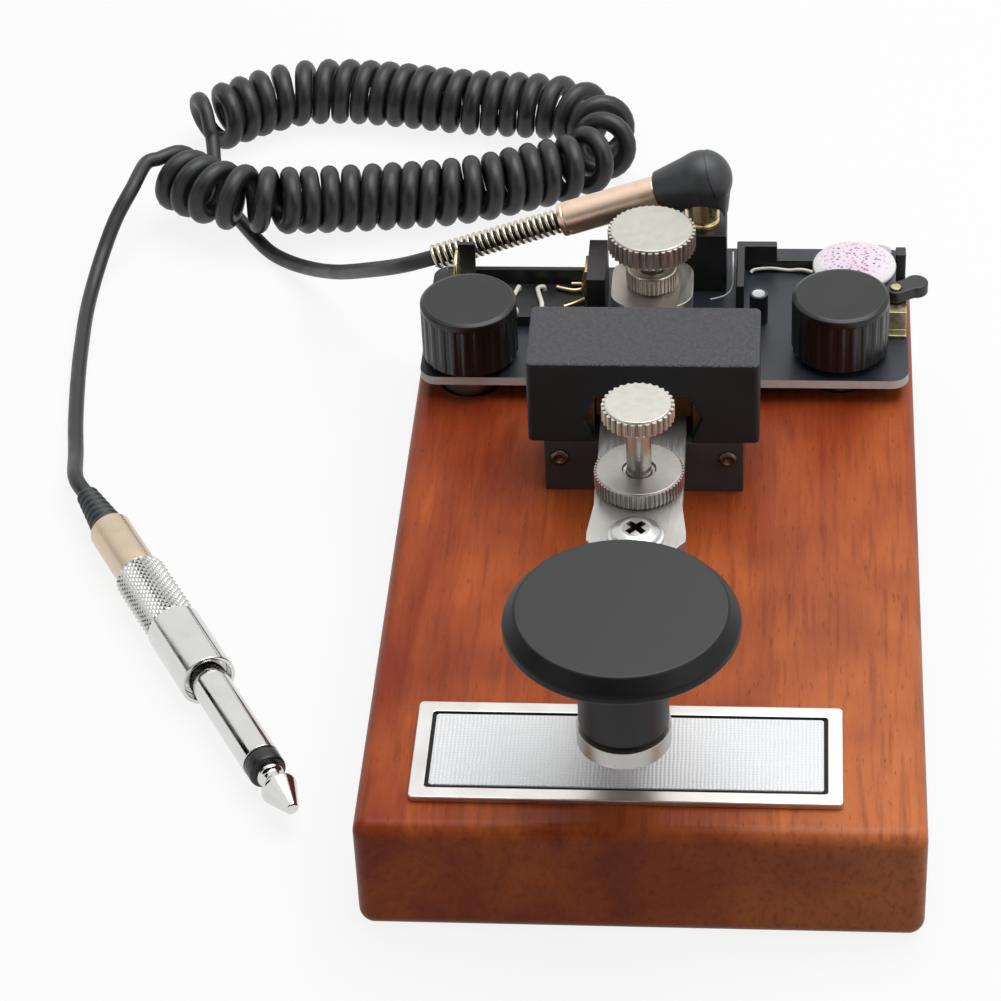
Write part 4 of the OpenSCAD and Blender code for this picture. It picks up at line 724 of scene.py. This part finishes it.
# Leather-grain vinyl on the roof: charcoal, with fine pebbles that catch the light from above.
pebbled, tree, shader = new_finish("leather_grain_vinyl")
spot = add(tree, "ShaderNodeTexCoord").outputs["Object"]
pebbles = add(tree, "ShaderNodeTexVoronoi", {"Vector": spot, "Scale": 1 / (0.75 * mm), "Randomness": 0.9},
              feature="SMOOTH_F1")
fine = add(tree, "ShaderNodeTexNoise", {"Vector": spot, "Scale": 1 / (0.25 * mm), "Detail": 2})
height = add(tree, "ShaderNodeMath", {0: fine.outputs["Fac"], 1: pebbles.outputs["Distance"]},
             operation="SUBTRACT")
tint = add(tree, "ShaderNodeMix", {"Factor": pebbles.outputs["Distance"], 6: linear("#3c3c42"),
                                   7: linear("#242428")}, data_type="RGBA")
polish = add(tree, "ShaderNodeMapRange", {"Value": fine.outputs["Fac"], "To Min": 0.34, "To Max": 0.6})
surface(tree, shader, tint.outputs[2], polish.outputs["Result"], height.outputs[0], depth=0.24)

# Black enamel on the folded sides: smooth and deep, with a faint ripple.
black_enamel = worn("black_enamel", ("#2a2e31", "#333739"), patch=6, rough=(0.4, 0.5), grain=0.6,
                    depth=0.012, Specular_IOR_Level=0.16)


def on_roof(middle):
    """The test that the edges round the cover's roof pass."""
    return middle.z > cover_high.z / mm - 0.1


cover_shape = dressed("bridge_cover", (0.4, on_roof), (0.3, anywhere))
for face in cover_shape.faces:
    face.material_index = 0 if face.normal.z > 0.6 else 1
place("vinyl_cover", cover_shape, (pebbled, black_enamel), "bridge_cover")

# Black oxide on milled steel: nearly black and dull, with a faint mottle.
black_oxide = worn("black_oxide_steel", ("#3c3e3f", "#494a4b"), patch=5, rough=(0.42, 0.55), grain=0.3,
                   depth=0.008, Specular_IOR_Level=0.2)

# Oil-browned steel: the block's cheeks, which show beside the lever in the cover's window.
browned = worn("oil_browned_steel", ("#4a382a", "#755c45"), patch=0.8, rough=(0.4, 0.6), grain=0.3,
               depth=0.03, Metallic=0.4)
block_shape = dressed("pivot_block", (0.35, anywhere))
for face in block_shape.faces:
    face.material_index = 1 if face.calc_center_median().z > cover_low.z + 0.1 * mm else 0
place("milled_block", block_shape, (black_oxide, browned), "pivot_block")

# Dark zinc on a small turned screw: warm grey, in darker and paler patches. It is painted shade in a recess
# too.
dark_zinc_and_recess_shade = worn("dark_zinc_and_painted_recess_shade", ("#4a4540", "#716a62"), patch=1.2, rough=(0.28, 0.42), grain=0.2,
                 depth=0.004, Metallic=1)
screw_low, screw_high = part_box("block_screws")
screw_r, screw_head_h, screw_l, screw_shank_r = 1.5, 0.7, 5, 1
screw_face = screw_low.y / mm + screw_head_h
screw_z = (screw_low.z + screw_high.z) / 2 / mm
shapes = []
for x in (screw_low.x / mm + screw_r, screw_high.x / mm - screw_r):
    axis = Matrix.Translation(Vector((x, screw_face, screw_z)) * mm) @ Matrix.Rotation(radians(90), 4, "X")
    shapes.append(turned(rounded([(0, -screw_l), (screw_shank_r, -screw_l), (screw_shank_r, 0), (screw_r, 0),
                                  (screw_r, 0.4), (screw_r - 0.35, screw_head_h), (0.75, screw_head_h),
                                  (0.55, 0.25), (0, 0.2)], 0.12), axis, 32))
place("front_block_screws", joined(*shapes), dark_zinc_and_recess_shade, "block_screws")

# Sintered bronze: brown-gold and dull, for the bushes.
bronze = worn("sintered_bronze", ("#4c3826", "#6a4e34"), patch=2, rough=(0.5, 0.65), grain=0.25, depth=0.01,
              Metallic=1)
coat("axle_bushes", bronze)

# Lever: a flat bar of satin-nickelled brass with a flared waist, drilled for the screws. A bronze hub is
# screwed to it under the cover and turns on a steel axle.

# Satin nickel: brushed along the bar, so that lights run across it in soft streaks.
satin_nickel, tree, shader = new_finish("satin_nickel_plating", Metallic=1)
spot = add(tree, "ShaderNodeTexCoord").outputs["Object"]
brushed = add(tree, "ShaderNodeTexNoise", {"Vector": add(tree, "ShaderNodeMapping", {
    "Vector": spot, "Scale": (1 / (0.18 * mm), 1 / (5 * mm), 1 / (0.18 * mm))}).outputs["Vector"],
    "Scale": 1, "Detail": 3}).outputs["Fac"]
cloud = add(tree, "ShaderNodeTexNoise", {"Vector": spot, "Scale": 1 / (6 * mm), "Detail": 2}).outputs["Fac"]
tint = add(tree, "ShaderNodeMix", {"Factor": cloud, 6: linear("#aaa8a4"), 7: linear("#c6c4bf")},
           data_type="RGBA")
polish = add(tree, "ShaderNodeMapRange", {"Value": brushed, "From Min": 0.3, "From Max": 0.7, "To Min": 0.3,
                                          "To Max": 0.46})
surface(tree, shader, tint.outputs[2], polish.outputs["Result"], brushed, depth=0.008)
place("nickelled_lever", dressed("lever", (0.3, anywhere)), satin_nickel, "lever")
place("bronze_hub", dressed("lever_hub", (0.4, anywhere)), bronze, "lever_hub")

# Plain steel, turned and zinc plated: pale grey and satin.
zinc_steel = worn("zinc_plated_steel", ("#a9abad", "#c8cacb"), patch=2, rough=(0.28, 0.4), grain=0.2,
                  depth=0.004, Metallic=1)
for node in ("hub_screws", "pivot_axle"):
    coat(node, zinc_steel)

# Finger knob: one turned and moulded piece of black phenolic, a stem that swells into a bevelled disc.
# A steel bolt holds it from under the lever's round pad.

# Moulded phenolic: black and a dry satin, on the stem and the disc's top.
phenolic = worn("moulded_phenolic", ("#1c1d1e", "#222325"), patch=14, rough=(0.42, 0.48), grain=0.22,
                depth=0.01, Specular_IOR_Level=0.36)


def standing(node):
    """The upright axis through a node's middle, and its foot, top and radius in millimetres."""
    low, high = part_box(node)
    axis = Matrix.Translation(((low.x + high.x) / 2, (low.y + high.y) / 2, 0))
    return axis, low.z / mm, high.z / mm, (high.x - low.x) / 2 / mm


def off_axis(point, axis):
    """How far a point is from an upright axis, in millimetres."""
    return (point - axis.translation).xy.length / mm


knob_axis, stem_foot, knob_top = standing("finger_knob")[:3]
disc_r, disc_face_r, disc_t, stem_r, stem_fillet = 17.2, 15.4, 4.5, 6.7, 1.6
disc_foot = knob_top - disc_t
knob_shape = turned(rounded(
    [(0, stem_foot), (stem_r - 0.5, stem_foot), (stem_r - 0.5, stem_foot + 0.6), (stem_r, stem_foot + 0.9),
     (stem_r, disc_foot - stem_fillet), (stem_r + stem_fillet, disc_foot), (disc_r - 1.2, disc_foot),
     (disc_r, disc_foot + 1), (disc_r, knob_top - disc_t / 2), (disc_face_r, knob_top), (0, knob_top)], 0.35),
    knob_axis, 128)

# The disc's edge: a blacker and duller copy of the phenolic, as painted shade.
painted_shade_edge = worn("painted_shade_phenolic_edge", ("#0f0f10", "#151516"), patch=8, rough=(0.42, 0.5), grain=0.22,
                   depth=0.01, Specular_IOR_Level=0.22)
# Faces beyond the disc's flat top take the painted shade.
for face in knob_shape.faces:
    face.material_index = 1 if off_axis(face.calc_center_median(), knob_axis) > disc_face_r - 0.05 else 0
place("knob_and_stem", knob_shape, (phenolic, painted_shade_edge), "finger_knob")
coat("knob_bolt", zinc_steel)

# Contacts: a plated screw with a cross recess through the lever, above a brass anvil that is bolted through
# the base. Blue wires in grooves under the base join the two bolts to the board.
contact_axis, contact_foot = standing("contact_screw")[:2]
lever_foot, lever_top = (corner.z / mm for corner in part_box("lever"))
head_r, head_h = 4.5, 1.9
contact_shape = turned(rounded(
    [(0, contact_foot), (1.6, contact_foot), (1.6, contact_foot + 0.8), (2.4, contact_foot + 0.8),
     (2.4, lever_foot), (1.5, lever_foot), (1.5, lever_top), (head_r, lever_top), (head_r, lever_top + 0.45),
     (3.9, lever_top + 0.55), (3.75, lever_top + 1.1), (2.4, lever_top + head_h - 0.15),
     (0, lever_top + head_h)], 0.2), contact_axis, 64)


def cut_from(shape, cutter):
    """The mesh of a shape with a second one taken out of it."""
    whole, tool = [shown("cutting", as_mesh(each, "cutting")) for each in (shape, cutter)]
    taken = whole.modifiers.new("cut", "BOOLEAN")
    taken.operation, taken.solver, taken.object = "DIFFERENCE", "EXACT", tool
    taken.use_self = True
    mesh = settled(whole)
    bpy.data.objects.remove(tool)
    return mesh


recess = bmesh.new()
recess_l, recess_w, recess_depth, floor_l_share, floor_w_share = 5.4, 1.4, 1.7, 0.35, 0.6
for turn in (radians(45), radians(135)):
    bar = bmesh.ops.create_cube(recess, size=1)["verts"]
    bmesh.ops.scale(recess, vec=(recess_l * mm, recess_w * mm, 2 * recess_depth * mm), verts=bar)
    for corner in bar:
        if corner.co.z < 0:
            corner.co.x *= floor_l_share
            corner.co.y *= floor_w_share
    bmesh.ops.rotate(recess, matrix=Matrix.Rotation(turn, 3, "Z"), verts=bar)
bmesh.ops.transform(recess, matrix=contact_axis @ Matrix.Translation((0, 0, (lever_top + head_h) * mm)),
                    verts=recess.verts)

# Satin nickel on a machined screw: pale, with soft lights round its crown.
screw_nickel = worn("satin_nickel_screw", ("#c4c4c2", "#d2d2d0"), patch=2, rough=(0.26, 0.34), grain=0.2,
                    depth=0.003, Metallic=1)
contact_mesh = cut_from(contact_shape, recess)
# The faces down in the cross recess take the dark zinc as painted shade.
for face in contact_mesh.polygons:
    crown_depth = lever_top + head_h - face.center.z / mm
    painted_recess_shade = off_axis(face.center, contact_axis) < recess_l / 2 and 0.3 < crown_depth < head_h
    face.material_index = 1 if painted_recess_shade else 0
place("cross_head_contact", contact_mesh, (screw_nickel, dark_zinc_and_recess_shade), "contact_screw")

# Turned brass: yellow, a little dulled by handling.
brass = worn("turned_brass", ("#b08a3e", "#d3b062"), patch=2.5, rough=(0.26, 0.42), grain=0.2, depth=0.004,
             Metallic=1)
coat("fixed_contact", brass)
coat("base_bolts", zinc_steel)

# PVC insulation: smooth and blue.
blue_pvc = worn("blue_pvc_insulation", ("#28457f", "#365a9d"), patch=3, rough=(0.36, 0.5), grain=0.3,
                depth=0.006)
coat("hook_up_wires", blue_pvc)

# Adjusting screws: turned and nickelled thumbscrews with knurled heads and threaded shanks, each held by a
# knurled lock nut on the lever. The front one bears on the return spring's cap and the rear one on a stop.

# Nickel on fine turning: pale and warm, with a soft bloom in place of clear reflections.
thumbscrew_nickel = worn("thumbscrew_nickel", ("#bfbcb3", "#c9c6bd"), patch=1.2, rough=(0.3, 0.36),
                         grain=0.12, depth=0.004, Metallic=1)

# Nickel on rougher turning: greyer than the screws.
locknut_nickel = worn("locknut_nickel", ("#a09c96", "#aeaaa4"), patch=1.2, rough=(0.34, 0.4), grain=0.12,
                      depth=0.006, Metallic=1)

# Aged nickel: dull and yellowed, on the nut that is seldom turned, and paler than the front nut as painted
# light.
aged_nickel_and_painted_light = worn("aged_nickel_and_painted_light", ("#c0b6a9", "#d8cec0"), patch=1.2, rough=(0.36, 0.46), grain=0.15,
                   depth=0.006, Metallic=1)

# The ribs that are rolled round a head: short round bars sunk to half their width in its rim.
rib_tree, given, result = new_tree("rolled_ribs", Count="Int", Radius="Float", Rib="Float", Sides="Int",
                                   Low="Float", High="Float", Material="Material")
ring = add(rib_tree, "GeometryNodeMeshCircle", {"Vertices": given["Count"], "Radius": given["Radius"]})
tall = add(rib_tree, "ShaderNodeMath", {0: given["High"], 1: given["Low"]}, operation="SUBTRACT")
total = add(rib_tree, "ShaderNodeMath", {0: given["High"], 1: given["Low"]}, operation="ADD")
middle = add(rib_tree, "ShaderNodeMath", {0: total.outputs[0], 1: 0.5}, operation="MULTIPLY")
bar = add(rib_tree, "GeometryNodeMeshCylinder", {"Vertices": given["Sides"], "Radius": given["Rib"],
                                                 "Depth": tall.outputs[0]})
facing = add(rib_tree, "ShaderNodeCombineXYZ", {"Z": bearing(rib_tree)})
ribs = add(rib_tree, "GeometryNodeInstanceOnPoints", {
    "Points": ring.outputs["Mesh"], "Rotation": facing.outputs[0], "Instance": bar.outputs["Mesh"]})
set_round(rib_tree, given, result, ribs.outputs["Instances"], middle.outputs[0])

thread_pitch, thread_depth, lead_in, shank_r, neck_r, neck_t = 0.7, 0.16, 0.4, 2, 3.3, 0.8
screw_rib_share, nut_rib_share, rib_sides = 0.62, 0.55, 8
for name, node, head_r, head_t, ribs in (("front_adjusting_screw", "front_thumbscrew", 5.8, 3, 30),
                                         ("rear_adjusting_screw", "rear_thumbscrew", 7.5, 4, 40)):
    axis, tip, top = standing(node)[:3]
    neck = top - head_t - neck_t
    rib = pi * head_r / ribs * screw_rib_share
    rim = head_r - rib
    threads = [(0, tip), (shank_r - lead_in, tip), (shank_r, tip + lead_in)]
    turns = int((neck - tip - 2 * lead_in) / thread_pitch)
    for i in range(turns):
        z = tip + lead_in + (i + 0.5) * thread_pitch
        threads += [(shank_r - thread_depth, z), (shank_r, z + thread_pitch / 2)]
    shape = turned(threads + rounded(
        [(shank_r, neck - 0.1), (shank_r, neck), (neck_r, neck), (neck_r, neck + neck_t),
         (rim - 0.2, neck + neck_t), (rim - rib * 0.3, neck + neck_t + 0.4), (rim - rib * 0.3, top - 0.35),
         (rim - 0.2, top), (0, top)], 0.12), Matrix())
    mesh = grown(shape, rib_tree, Count=ribs, Radius=rim * mm, Rib=rib * mm, Sides=rib_sides,
                 Low=(top - head_t + 0.3) * mm, High=(top - 0.3) * mm, Material=thumbscrew_nickel)
    mesh.transform(axis)
    place(name, mesh, thumbscrew_nickel, node)

bore_r, recess_r, recess_h = 2.05, 2.7, 0.6
# The rear nut's paler nickel is painted light under the rear screw's head.
for name, node, ribs, finish in (("front_lock_nut", "front_locknut", 60, locknut_nickel),
                                 ("rear_lock_nut", "rear_locknut", 38, aged_nickel_and_painted_light)):
    axis, foot, top, nut_r = standing(node)
    rib = pi * nut_r / ribs * nut_rib_share
    rim = nut_r - rib
    shape = turned(rounded(
        [(bore_r, foot), (rim - 0.2, foot), (rim - rib * 0.2, foot + 0.35), (rim - rib * 0.2, top - 0.35),
         (rim - 0.2, top), (recess_r, top), (recess_r - 0.1, top - recess_h), (bore_r, top - recess_h),
         (bore_r, foot)], 0.12), Matrix())
    bmesh.ops.remove_doubles(shape, verts=shape.verts, dist=1e-6)
    mesh = grown(shape, rib_tree, Count=ribs, Radius=rim * mm, Rib=rib * mm, Sides=rib_sides,
                 Low=(foot + 0.25) * mm, High=(top - 0.25) * mm, Material=finish)
    mesh.transform(axis)
    place(name, mesh, finish, node)

# Return spring: coiled steel wire between a brass cup in the base and a brass cap that the front screw
# presses. The stop under the rear screw is brass too.
for node in ("spring_cup", "spring_cap", "rear_stop"):
    coat(node, brass)
spring_low, spring_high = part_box("return_spring")
return_wire, return_r, return_turns = 0.8, 3.2, 5
spring_foot = spring_low.z + return_wire / 2 * mm
spring_rise = spring_high.z - spring_low.z - return_wire * mm
spring_mesh = grown(None, spring_tree, Turns=float(return_turns), Radius=return_r * mm, Rise=spring_rise,
                    Wire=return_wire / 2 * mm, Material=spring_steel)

# The wire's ends make the spring's own box uneven, so the cap's middle gives its place from front to rear.
cap_low, cap_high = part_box("spring_cap")
spring_centre = Vector(((spring_low.x + spring_high.x) / 2, (cap_low.y + cap_high.y) / 2, spring_foot))
spring_mesh.transform(Matrix.Translation(spring_centre))
return_spring = place("return_spring_wire", spring_mesh, spring_steel, "return_spring")
return_spring.modifiers.clear()
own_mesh(return_spring)

# Circuit board: glass-fibre board under a dark solder mask, on nylon spacers, with a screw in each.
# Its sawn edge is pale. A white printed line runs beside the jack.

# Solder mask: a blue-black lacquer with a soft gloss.
solder_mask = worn("dark_solder_mask", ("#1d2127", "#292e36"), patch=5, rough=(0.3, 0.44), grain=0.5,
                   depth=0.01)

# Sawn glass fibre: pale and dry along the board's edge.
glass_fibre = worn("sawn_glass_fibre", ("#dadddd", "#f2f3f2"), patch=1.5, rough=(0.5, 0.65), grain=0.25,
                   depth=0.02)

board_shape = dressed("circuit_board", (0.12, anywhere))
for face in board_shape.faces:
    face.material_index = 0 if abs(face.normal.z) > 0.7 else 1

# Printing ink: white and flat, a little raised.
board_ink = worn("white_printing_ink", ("#c8c9c8", "#e4e4e2"), patch=1, rough=(0.5, 0.6), grain=0.2,
                 depth=0.004)


def wire(points, radius, sides, steps, material_index=0):
    """A thin round wire or line along the smooth curve through points, with its sizes in millimetres."""
    line = [p * mm for p in smooth_route(points, steps)]
    made = swept(line, [radius * mm] * len(line), sides)
    for face in made.faces:
        face.material_index = material_index
    return made


board_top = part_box("circuit_board")[1].z / mm
ink_r = 0.14
jack_line = [(11.2, 71.5), (11.3, 65), (11.2, 60.5), (10, 58), (7.5, 56.8)]
printed = wire([(x, y, board_top) for x, y in jack_line], ink_r, sides=8, steps=6, material_index=2)
place("solder_masked_board", joined(board_shape, printed), (solder_mask, glass_fibre, board_ink),
      "circuit_board")

# Nylon: milky white and soft.
nylon = worn("white_nylon", ("#cfcfca", "#e2e2de"), patch=2, rough=(0.4, 0.55), grain=0.3, depth=0.01,
             Subsurface_Weight=0.1)
coat("board_spacers", nylon)
coat("board_screws", zinc_steel)

# Dials: two controls hang under the board, their cans in pockets of the base and their nuts on top. Each
# turns a fluted knob of glossy black ABS with a bevelled, spun top.

# Drawn tinplate: bright grey, lightly scuffed.
control_metal = worn("drawn_tinplate", ("#8a8c8d", "#b3b5b5"), patch=2.5, rough=(0.26, 0.4), grain=0.25,
                     depth=0.006, Metallic=1)
for node in ("left_pot", "right_pot"):
    coat(node, control_metal)
for node in ("pot_nuts", "left_pot_shaft", "right_pot_shaft"):
    coat(node, zinc_steel)

# Glossy ABS: black, with clear soft lights on its spun top and along its flutes.
glossy_abs = worn("glossy_black_abs", ("#151617", "#1e1f21"), patch=7, rough=(0.26, 0.36), grain=0.25,
                  depth=0.005, Specular_IOR_Level=0.42)
dial_flats, flat_r, flat_sides, groove, hollow_r, hollow_h = 24, 1.3, 12, 0.24, 6, 3.2
for name, node in (("left_dial_knob", "left_knob"), ("right_dial_knob", "right_knob")):
    axis, foot, top, dial_r = standing(node)
    shape = turned(rounded(
        [(0, foot + hollow_h), (hollow_r, foot + hollow_h), (hollow_r, foot), (dial_r - groove, foot),
         (dial_r - groove, top - 1.6), (dial_r - 0.1, top - 1.45), (dial_r - 0.1, top - 0.55),
         (dial_r - 0.2, top - 0.35), (dial_r - 0.75, top - 0.04), (dial_r - 0.9, top),
         (dial_r - 1, top - 0.06), (0, top - 0.06)], 0.12), Matrix())
    mesh = grown(shape, rib_tree, Count=dial_flats, Radius=(dial_r - 0.05 - flat_r) * mm, Rib=flat_r * mm,
                 Sides=flat_sides, Low=(foot + 0.2) * mm, High=(top - 1.5) * mm, Material=glossy_abs)
    mesh.transform(axis)
    place(name, mesh, glossy_abs, node)

# Battery tray: black moulded plastic, empty, with gilt contacts at its two ends, two gilt strips bent along
# its floor, and two white wires that come up through holes in the floor.

# Moulded ABS: black and satin, with the faint grain of its mould.
black_abs = worn("moulded_black_abs", ("#191a1b", "#262729"), patch=5, rough=(0.36, 0.52), grain=0.25,
                 depth=0.012)
place("empty_battery_tray", dressed("battery_tray", (0.15, anywhere)), black_abs, "battery_tray")
leaf_r, leaf_z = 0.4, 26.75
leaf_routes = [[(-19.3, 58), (-17.5, 57.3), (-16.1, 57), (-14.5, 57.6), (-13.8, 58.5), (-15, 59), (-16.8, 59)],
               [(-17.8, 51.9), (-15.6, 53.3), (-13.6, 54.9)]]
leaves = [wire([(x, y, leaf_z) for x, y in route], leaf_r, sides=10, steps=6) for route in leaf_routes]
place("battery_springs", joined(dressed("battery_contacts", (0.1, anywhere)), *leaves), pale_gold,
      "battery_contacts")

# PVC insulation: smooth and a warm white.
white_pvc = worn("white_pvc_insulation", ("#dedad0", "#f0ede6"), patch=2, rough=(0.38, 0.5), grain=0.3,
                 depth=0.006)
wire_r, wire_z, wire_hole_z = 0.42, 26.7, 25.4
wires = []
for route in ([(-26, 58), (-26.4, 56.6), (-26.9, 54.5), (-26.7, 52.4), (-26, 50.8)],
              [(-21.6, 58), (-22.6, 57.7), (-22.4, 56), (-21.7, 53), (-21.6, 50.8)]):
    run = [(*route[0], wire_hole_z)] + [(x, y, wire_z) for x, y in route] + [(*route[-1], wire_hole_z)]
    wires.append(wire(run, wire_r, sides=12, steps=8))
place("white_battery_wires", joined(*wires), white_pvc, "battery_wires")

# Rear of the board: a square upright jack, a round sounder with a speckled cap in its black bracket, a small
# capacitor, and a switch lever on a brass tab.
place("upright_jack", dressed("phone_jack", (0.35, anywhere)), black_abs, "phone_jack")
place("sounder_pot", dressed("sounder_case", (0.3, anywhere)), black_abs, "sounder_case")
bracket_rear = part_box("sounder_bracket")[1].y / mm
tail_r = 0.3
tail_route = [(14.4, 3.2, 25.6), (15.2, 2.6, 25.9), (18, 2.2, 25.9), (21, 2.3, 25.6), (23.5, 2.6, 25.9),
              (26.4, 3.4, 25.6)]
sounder_tail = wire([(x, bracket_rear - inward, z) for x, inward, z in tail_route], tail_r, sides=10, steps=6,
                    material_index=1)
place("sounder_holder", joined(dressed("sounder_bracket", (0.25, anywhere)), sounder_tail),
      (black_abs, white_pvc), "sounder_bracket")

# Printed felt: white, blushed towards its middle, with pink and violet flecks about 0.4 mm across.
felt, tree, shader = new_finish("flecked_white_felt", Roughness=0.85)
spot = add(tree, "ShaderNodeTexCoord").outputs["Object"]
flecks = add(tree, "ShaderNodeTexVoronoi", {"Vector": spot, "Scale": 1 / (0.7 * mm)})
fleck = add(tree, "ShaderNodeMapRange", {"Value": flecks.outputs["Distance"], "From Min": 0.26,
                                         "From Max": 0.38, "To Min": 1, "To Max": 0})
cloud = add(tree, "ShaderNodeTexNoise", {"Vector": spot, "Scale": 1 / (4.5 * mm), "Detail": 3}).outputs["Fac"]
cap_axis, cap_foot, cap_top, cap_r = standing("sounder_cap")
off_centre = add(tree, "ShaderNodeVectorMath", {0: spot, 1: cap_axis @ Vector((0, 0, cap_top * mm))},
                 operation="DISTANCE")
inner = add(tree, "ShaderNodeMapRange", {"Value": off_centre.outputs["Value"], "From Min": 0.55 * cap_r * mm,
                                         "From Max": 0.95 * cap_r * mm, "To Min": 1, "To Max": 0})
pink = add(tree, "ShaderNodeMath", {0: inner.outputs["Result"], 1: cloud}, operation="MULTIPLY")
blush = add(tree, "ShaderNodeMix", {"Factor": pink.outputs[0], 6: linear("#eeebed"), 7: linear("#e2c2dc")},
            data_type="RGBA")
ink = add(tree, "ShaderNodeMix", {"Factor": add(tree, "ShaderNodeSeparateColor", {
    0: flecks.outputs["Color"]}).outputs[0], 6: linear("#5b3f66"), 7: linear("#c49abb")}, data_type="RGBA")
fleck = add(tree, "ShaderNodeMath", {0: fleck.outputs["Result"], 1: inner.outputs["Result"]},
            operation="MULTIPLY")
tint = add(tree, "ShaderNodeMix", {"Factor": fleck.outputs[0], 6: blush.outputs[2], 7: ink.outputs[2]},
           data_type="RGBA")
raised = add(tree, "ShaderNodeBump", {"Height": cloud, "Distance": 0.1 * mm})
tree.links.new(tint.outputs[2], shader.inputs["Base Color"])
tree.links.new(raised.outputs["Normal"], shader.inputs["Normal"])
place("sounder_dome", turned(rounded(
    [(0, cap_foot), (cap_r, cap_foot), (cap_r, cap_foot + 0.6), (cap_r - 1, cap_top - 0.1),
     (cap_r * 0.55, cap_top + 0.6), (0, cap_top + 0.8)], 0.5, 5), cap_axis), felt, "sounder_cap")

# Shrunk sleeve of a capacitor: black, with its bare aluminium top showing.
can_axis, can_foot, can_top, can_r = standing("capacitor")
can_shape = turned(rounded(
    [(0, can_foot), (can_r - 0.15, can_foot), (can_r, can_foot + 0.3), (can_r - 0.12, can_foot + 0.9),
     (can_r, can_foot + 1.2), (can_r, can_top), (can_r - 0.45, can_top), (can_r - 0.5, can_top - 0.12),
     (0, can_top - 0.12)], 0.12), can_axis, 48)
for face in can_shape.faces:
    middle = face.calc_center_median()
    bare = off_axis(middle, can_axis) < can_r - 0.45 and middle.z > (can_top - 0.3) * mm
    face.material_index = 1 if bare else 0
place("capacitor_can", can_shape, (black_abs, zinc_steel), "capacitor")

# Tinned brass strip: dull and greyish gold.
tinned_brass = worn("tinned_brass", ("#a0967a", "#c9bf9f"), patch=0.8, rough=(0.32, 0.46), grain=0.2,
                    depth=0.006, Metallic=1)
place("brass_switch_tab", dressed("switch_tab", (0.12, anywhere)), tinned_brass, "switch_tab")
place("switch_paddle", dressed("switch_lever", (0.4, anywhere)), black_abs, "switch_lever")

# Stage: a pale table that shows white to the camera and in reflections and keeps the object's shadow, with
# one large soft lamp above, a weaker one at the side and an even white surround.
table_half, table_glow, surround_level = 3, 0.86, 0.32
floor_shape = bmesh.new()
bmesh.ops.create_grid(floor_shape, x_segments=1, y_segments=1, size=table_half)
floor = shown("table", as_mesh(floor_shape, "table"))
table_paint, tree, shader = new_finish("white_table", Roughness=0.7, Specular_IOR_Level=0.2,
                                       Base_Color=linear("#e8e8e8"))


def seen(tree):
    """1 where the camera, a reflection or glass looks at a surface, and 0 where light falls on it."""
    rays = add(tree, "ShaderNodeLightPath").outputs
    looked = rays["Is Camera Ray"]
    for ray in ("Is Glossy Ray", "Is Transmission Ray"):
        looked = add(tree, "ShaderNodeMath", {0: looked, 1: rays[ray]}, operation="MAXIMUM").outputs[0]
    return looked


glow = add(tree, "ShaderNodeEmission", {"Color": (1, 1, 1, 1), "Strength": seen(tree)})
lit = add(tree, "ShaderNodeMixShader", {"Fac": table_glow, 1: shader.outputs[0], 2: glow.outputs[0]})
tree.links.new(lit.outputs[0], tree.nodes["Material Output"].inputs["Surface"])
floor.data.materials.append(table_paint)

world = bpy.data.worlds.new("white_surround")
world.use_nodes = True
bpy.context.scene.world = world
tree = world.node_tree
surround = add(tree, "ShaderNodeMapRange", {"Value": seen(tree), "To Min": surround_level, "To Max": 1})
tree.nodes["Background"].inputs["Color"].default_value = (1, 1, 1, 1)
tree.links.new(surround.outputs["Result"], tree.nodes["Background"].inputs["Strength"])

# Dark cards that only reflections see, as the unlit side of a studio: one lies in front of the base, one hangs
# above the camera and one stands at the left, so that bare metal and glossy black show an edge.
card_black = new_finish("black_card", Base_Color=linear("#101010"), Roughness=0.9, Specular_IOR_Level=0)[0]
for name, corners in (
        ("floor_card", [(-420, -640, 2), (420, -640, 2), (420, -190, 2), (-420, -190, 2)]),
        ("camera_card", [(-400, -640, 200), (400, -640, 200), (400, -330, 700), (-400, -330, 700)]),
        ("left_card", [(-560, -200, 110), (-560, 160, 110), (-440, 160, 480), (-440, -200, 480)])):
    mesh = bpy.data.meshes.new(name)
    mesh.from_pydata([Vector(corner) * mm for corner in corners], [], [(0, 1, 2, 3)])
    mesh.materials.append(card_black)
    card = shown(name, mesh)
    card.visible_camera = card.visible_diffuse = card.visible_shadow = card.visible_transmission = False

for name, at, aim, size, watts in (("overhead_lamp", (120, 160, 700), (-20, 40, 0), 600, 4.6),
                                   ("side_lamp", (500, -300, 420), (0, 20, 0), 350, 0.5)):
    lamp_data = bpy.data.lights.new(name, "AREA")
    lamp_data.size, lamp_data.energy = size * mm, watts
    lamp = shown(name, lamp_data)
    lamp.location = Vector(at) * mm
    lamp.rotation_mode = "QUATERNION"
    lamp.rotation_quaternion = (Vector(aim) - Vector(at)).to_track_quat("-Z", "Y")

bpy.context.scene.view_settings.view_transform = "Standard"
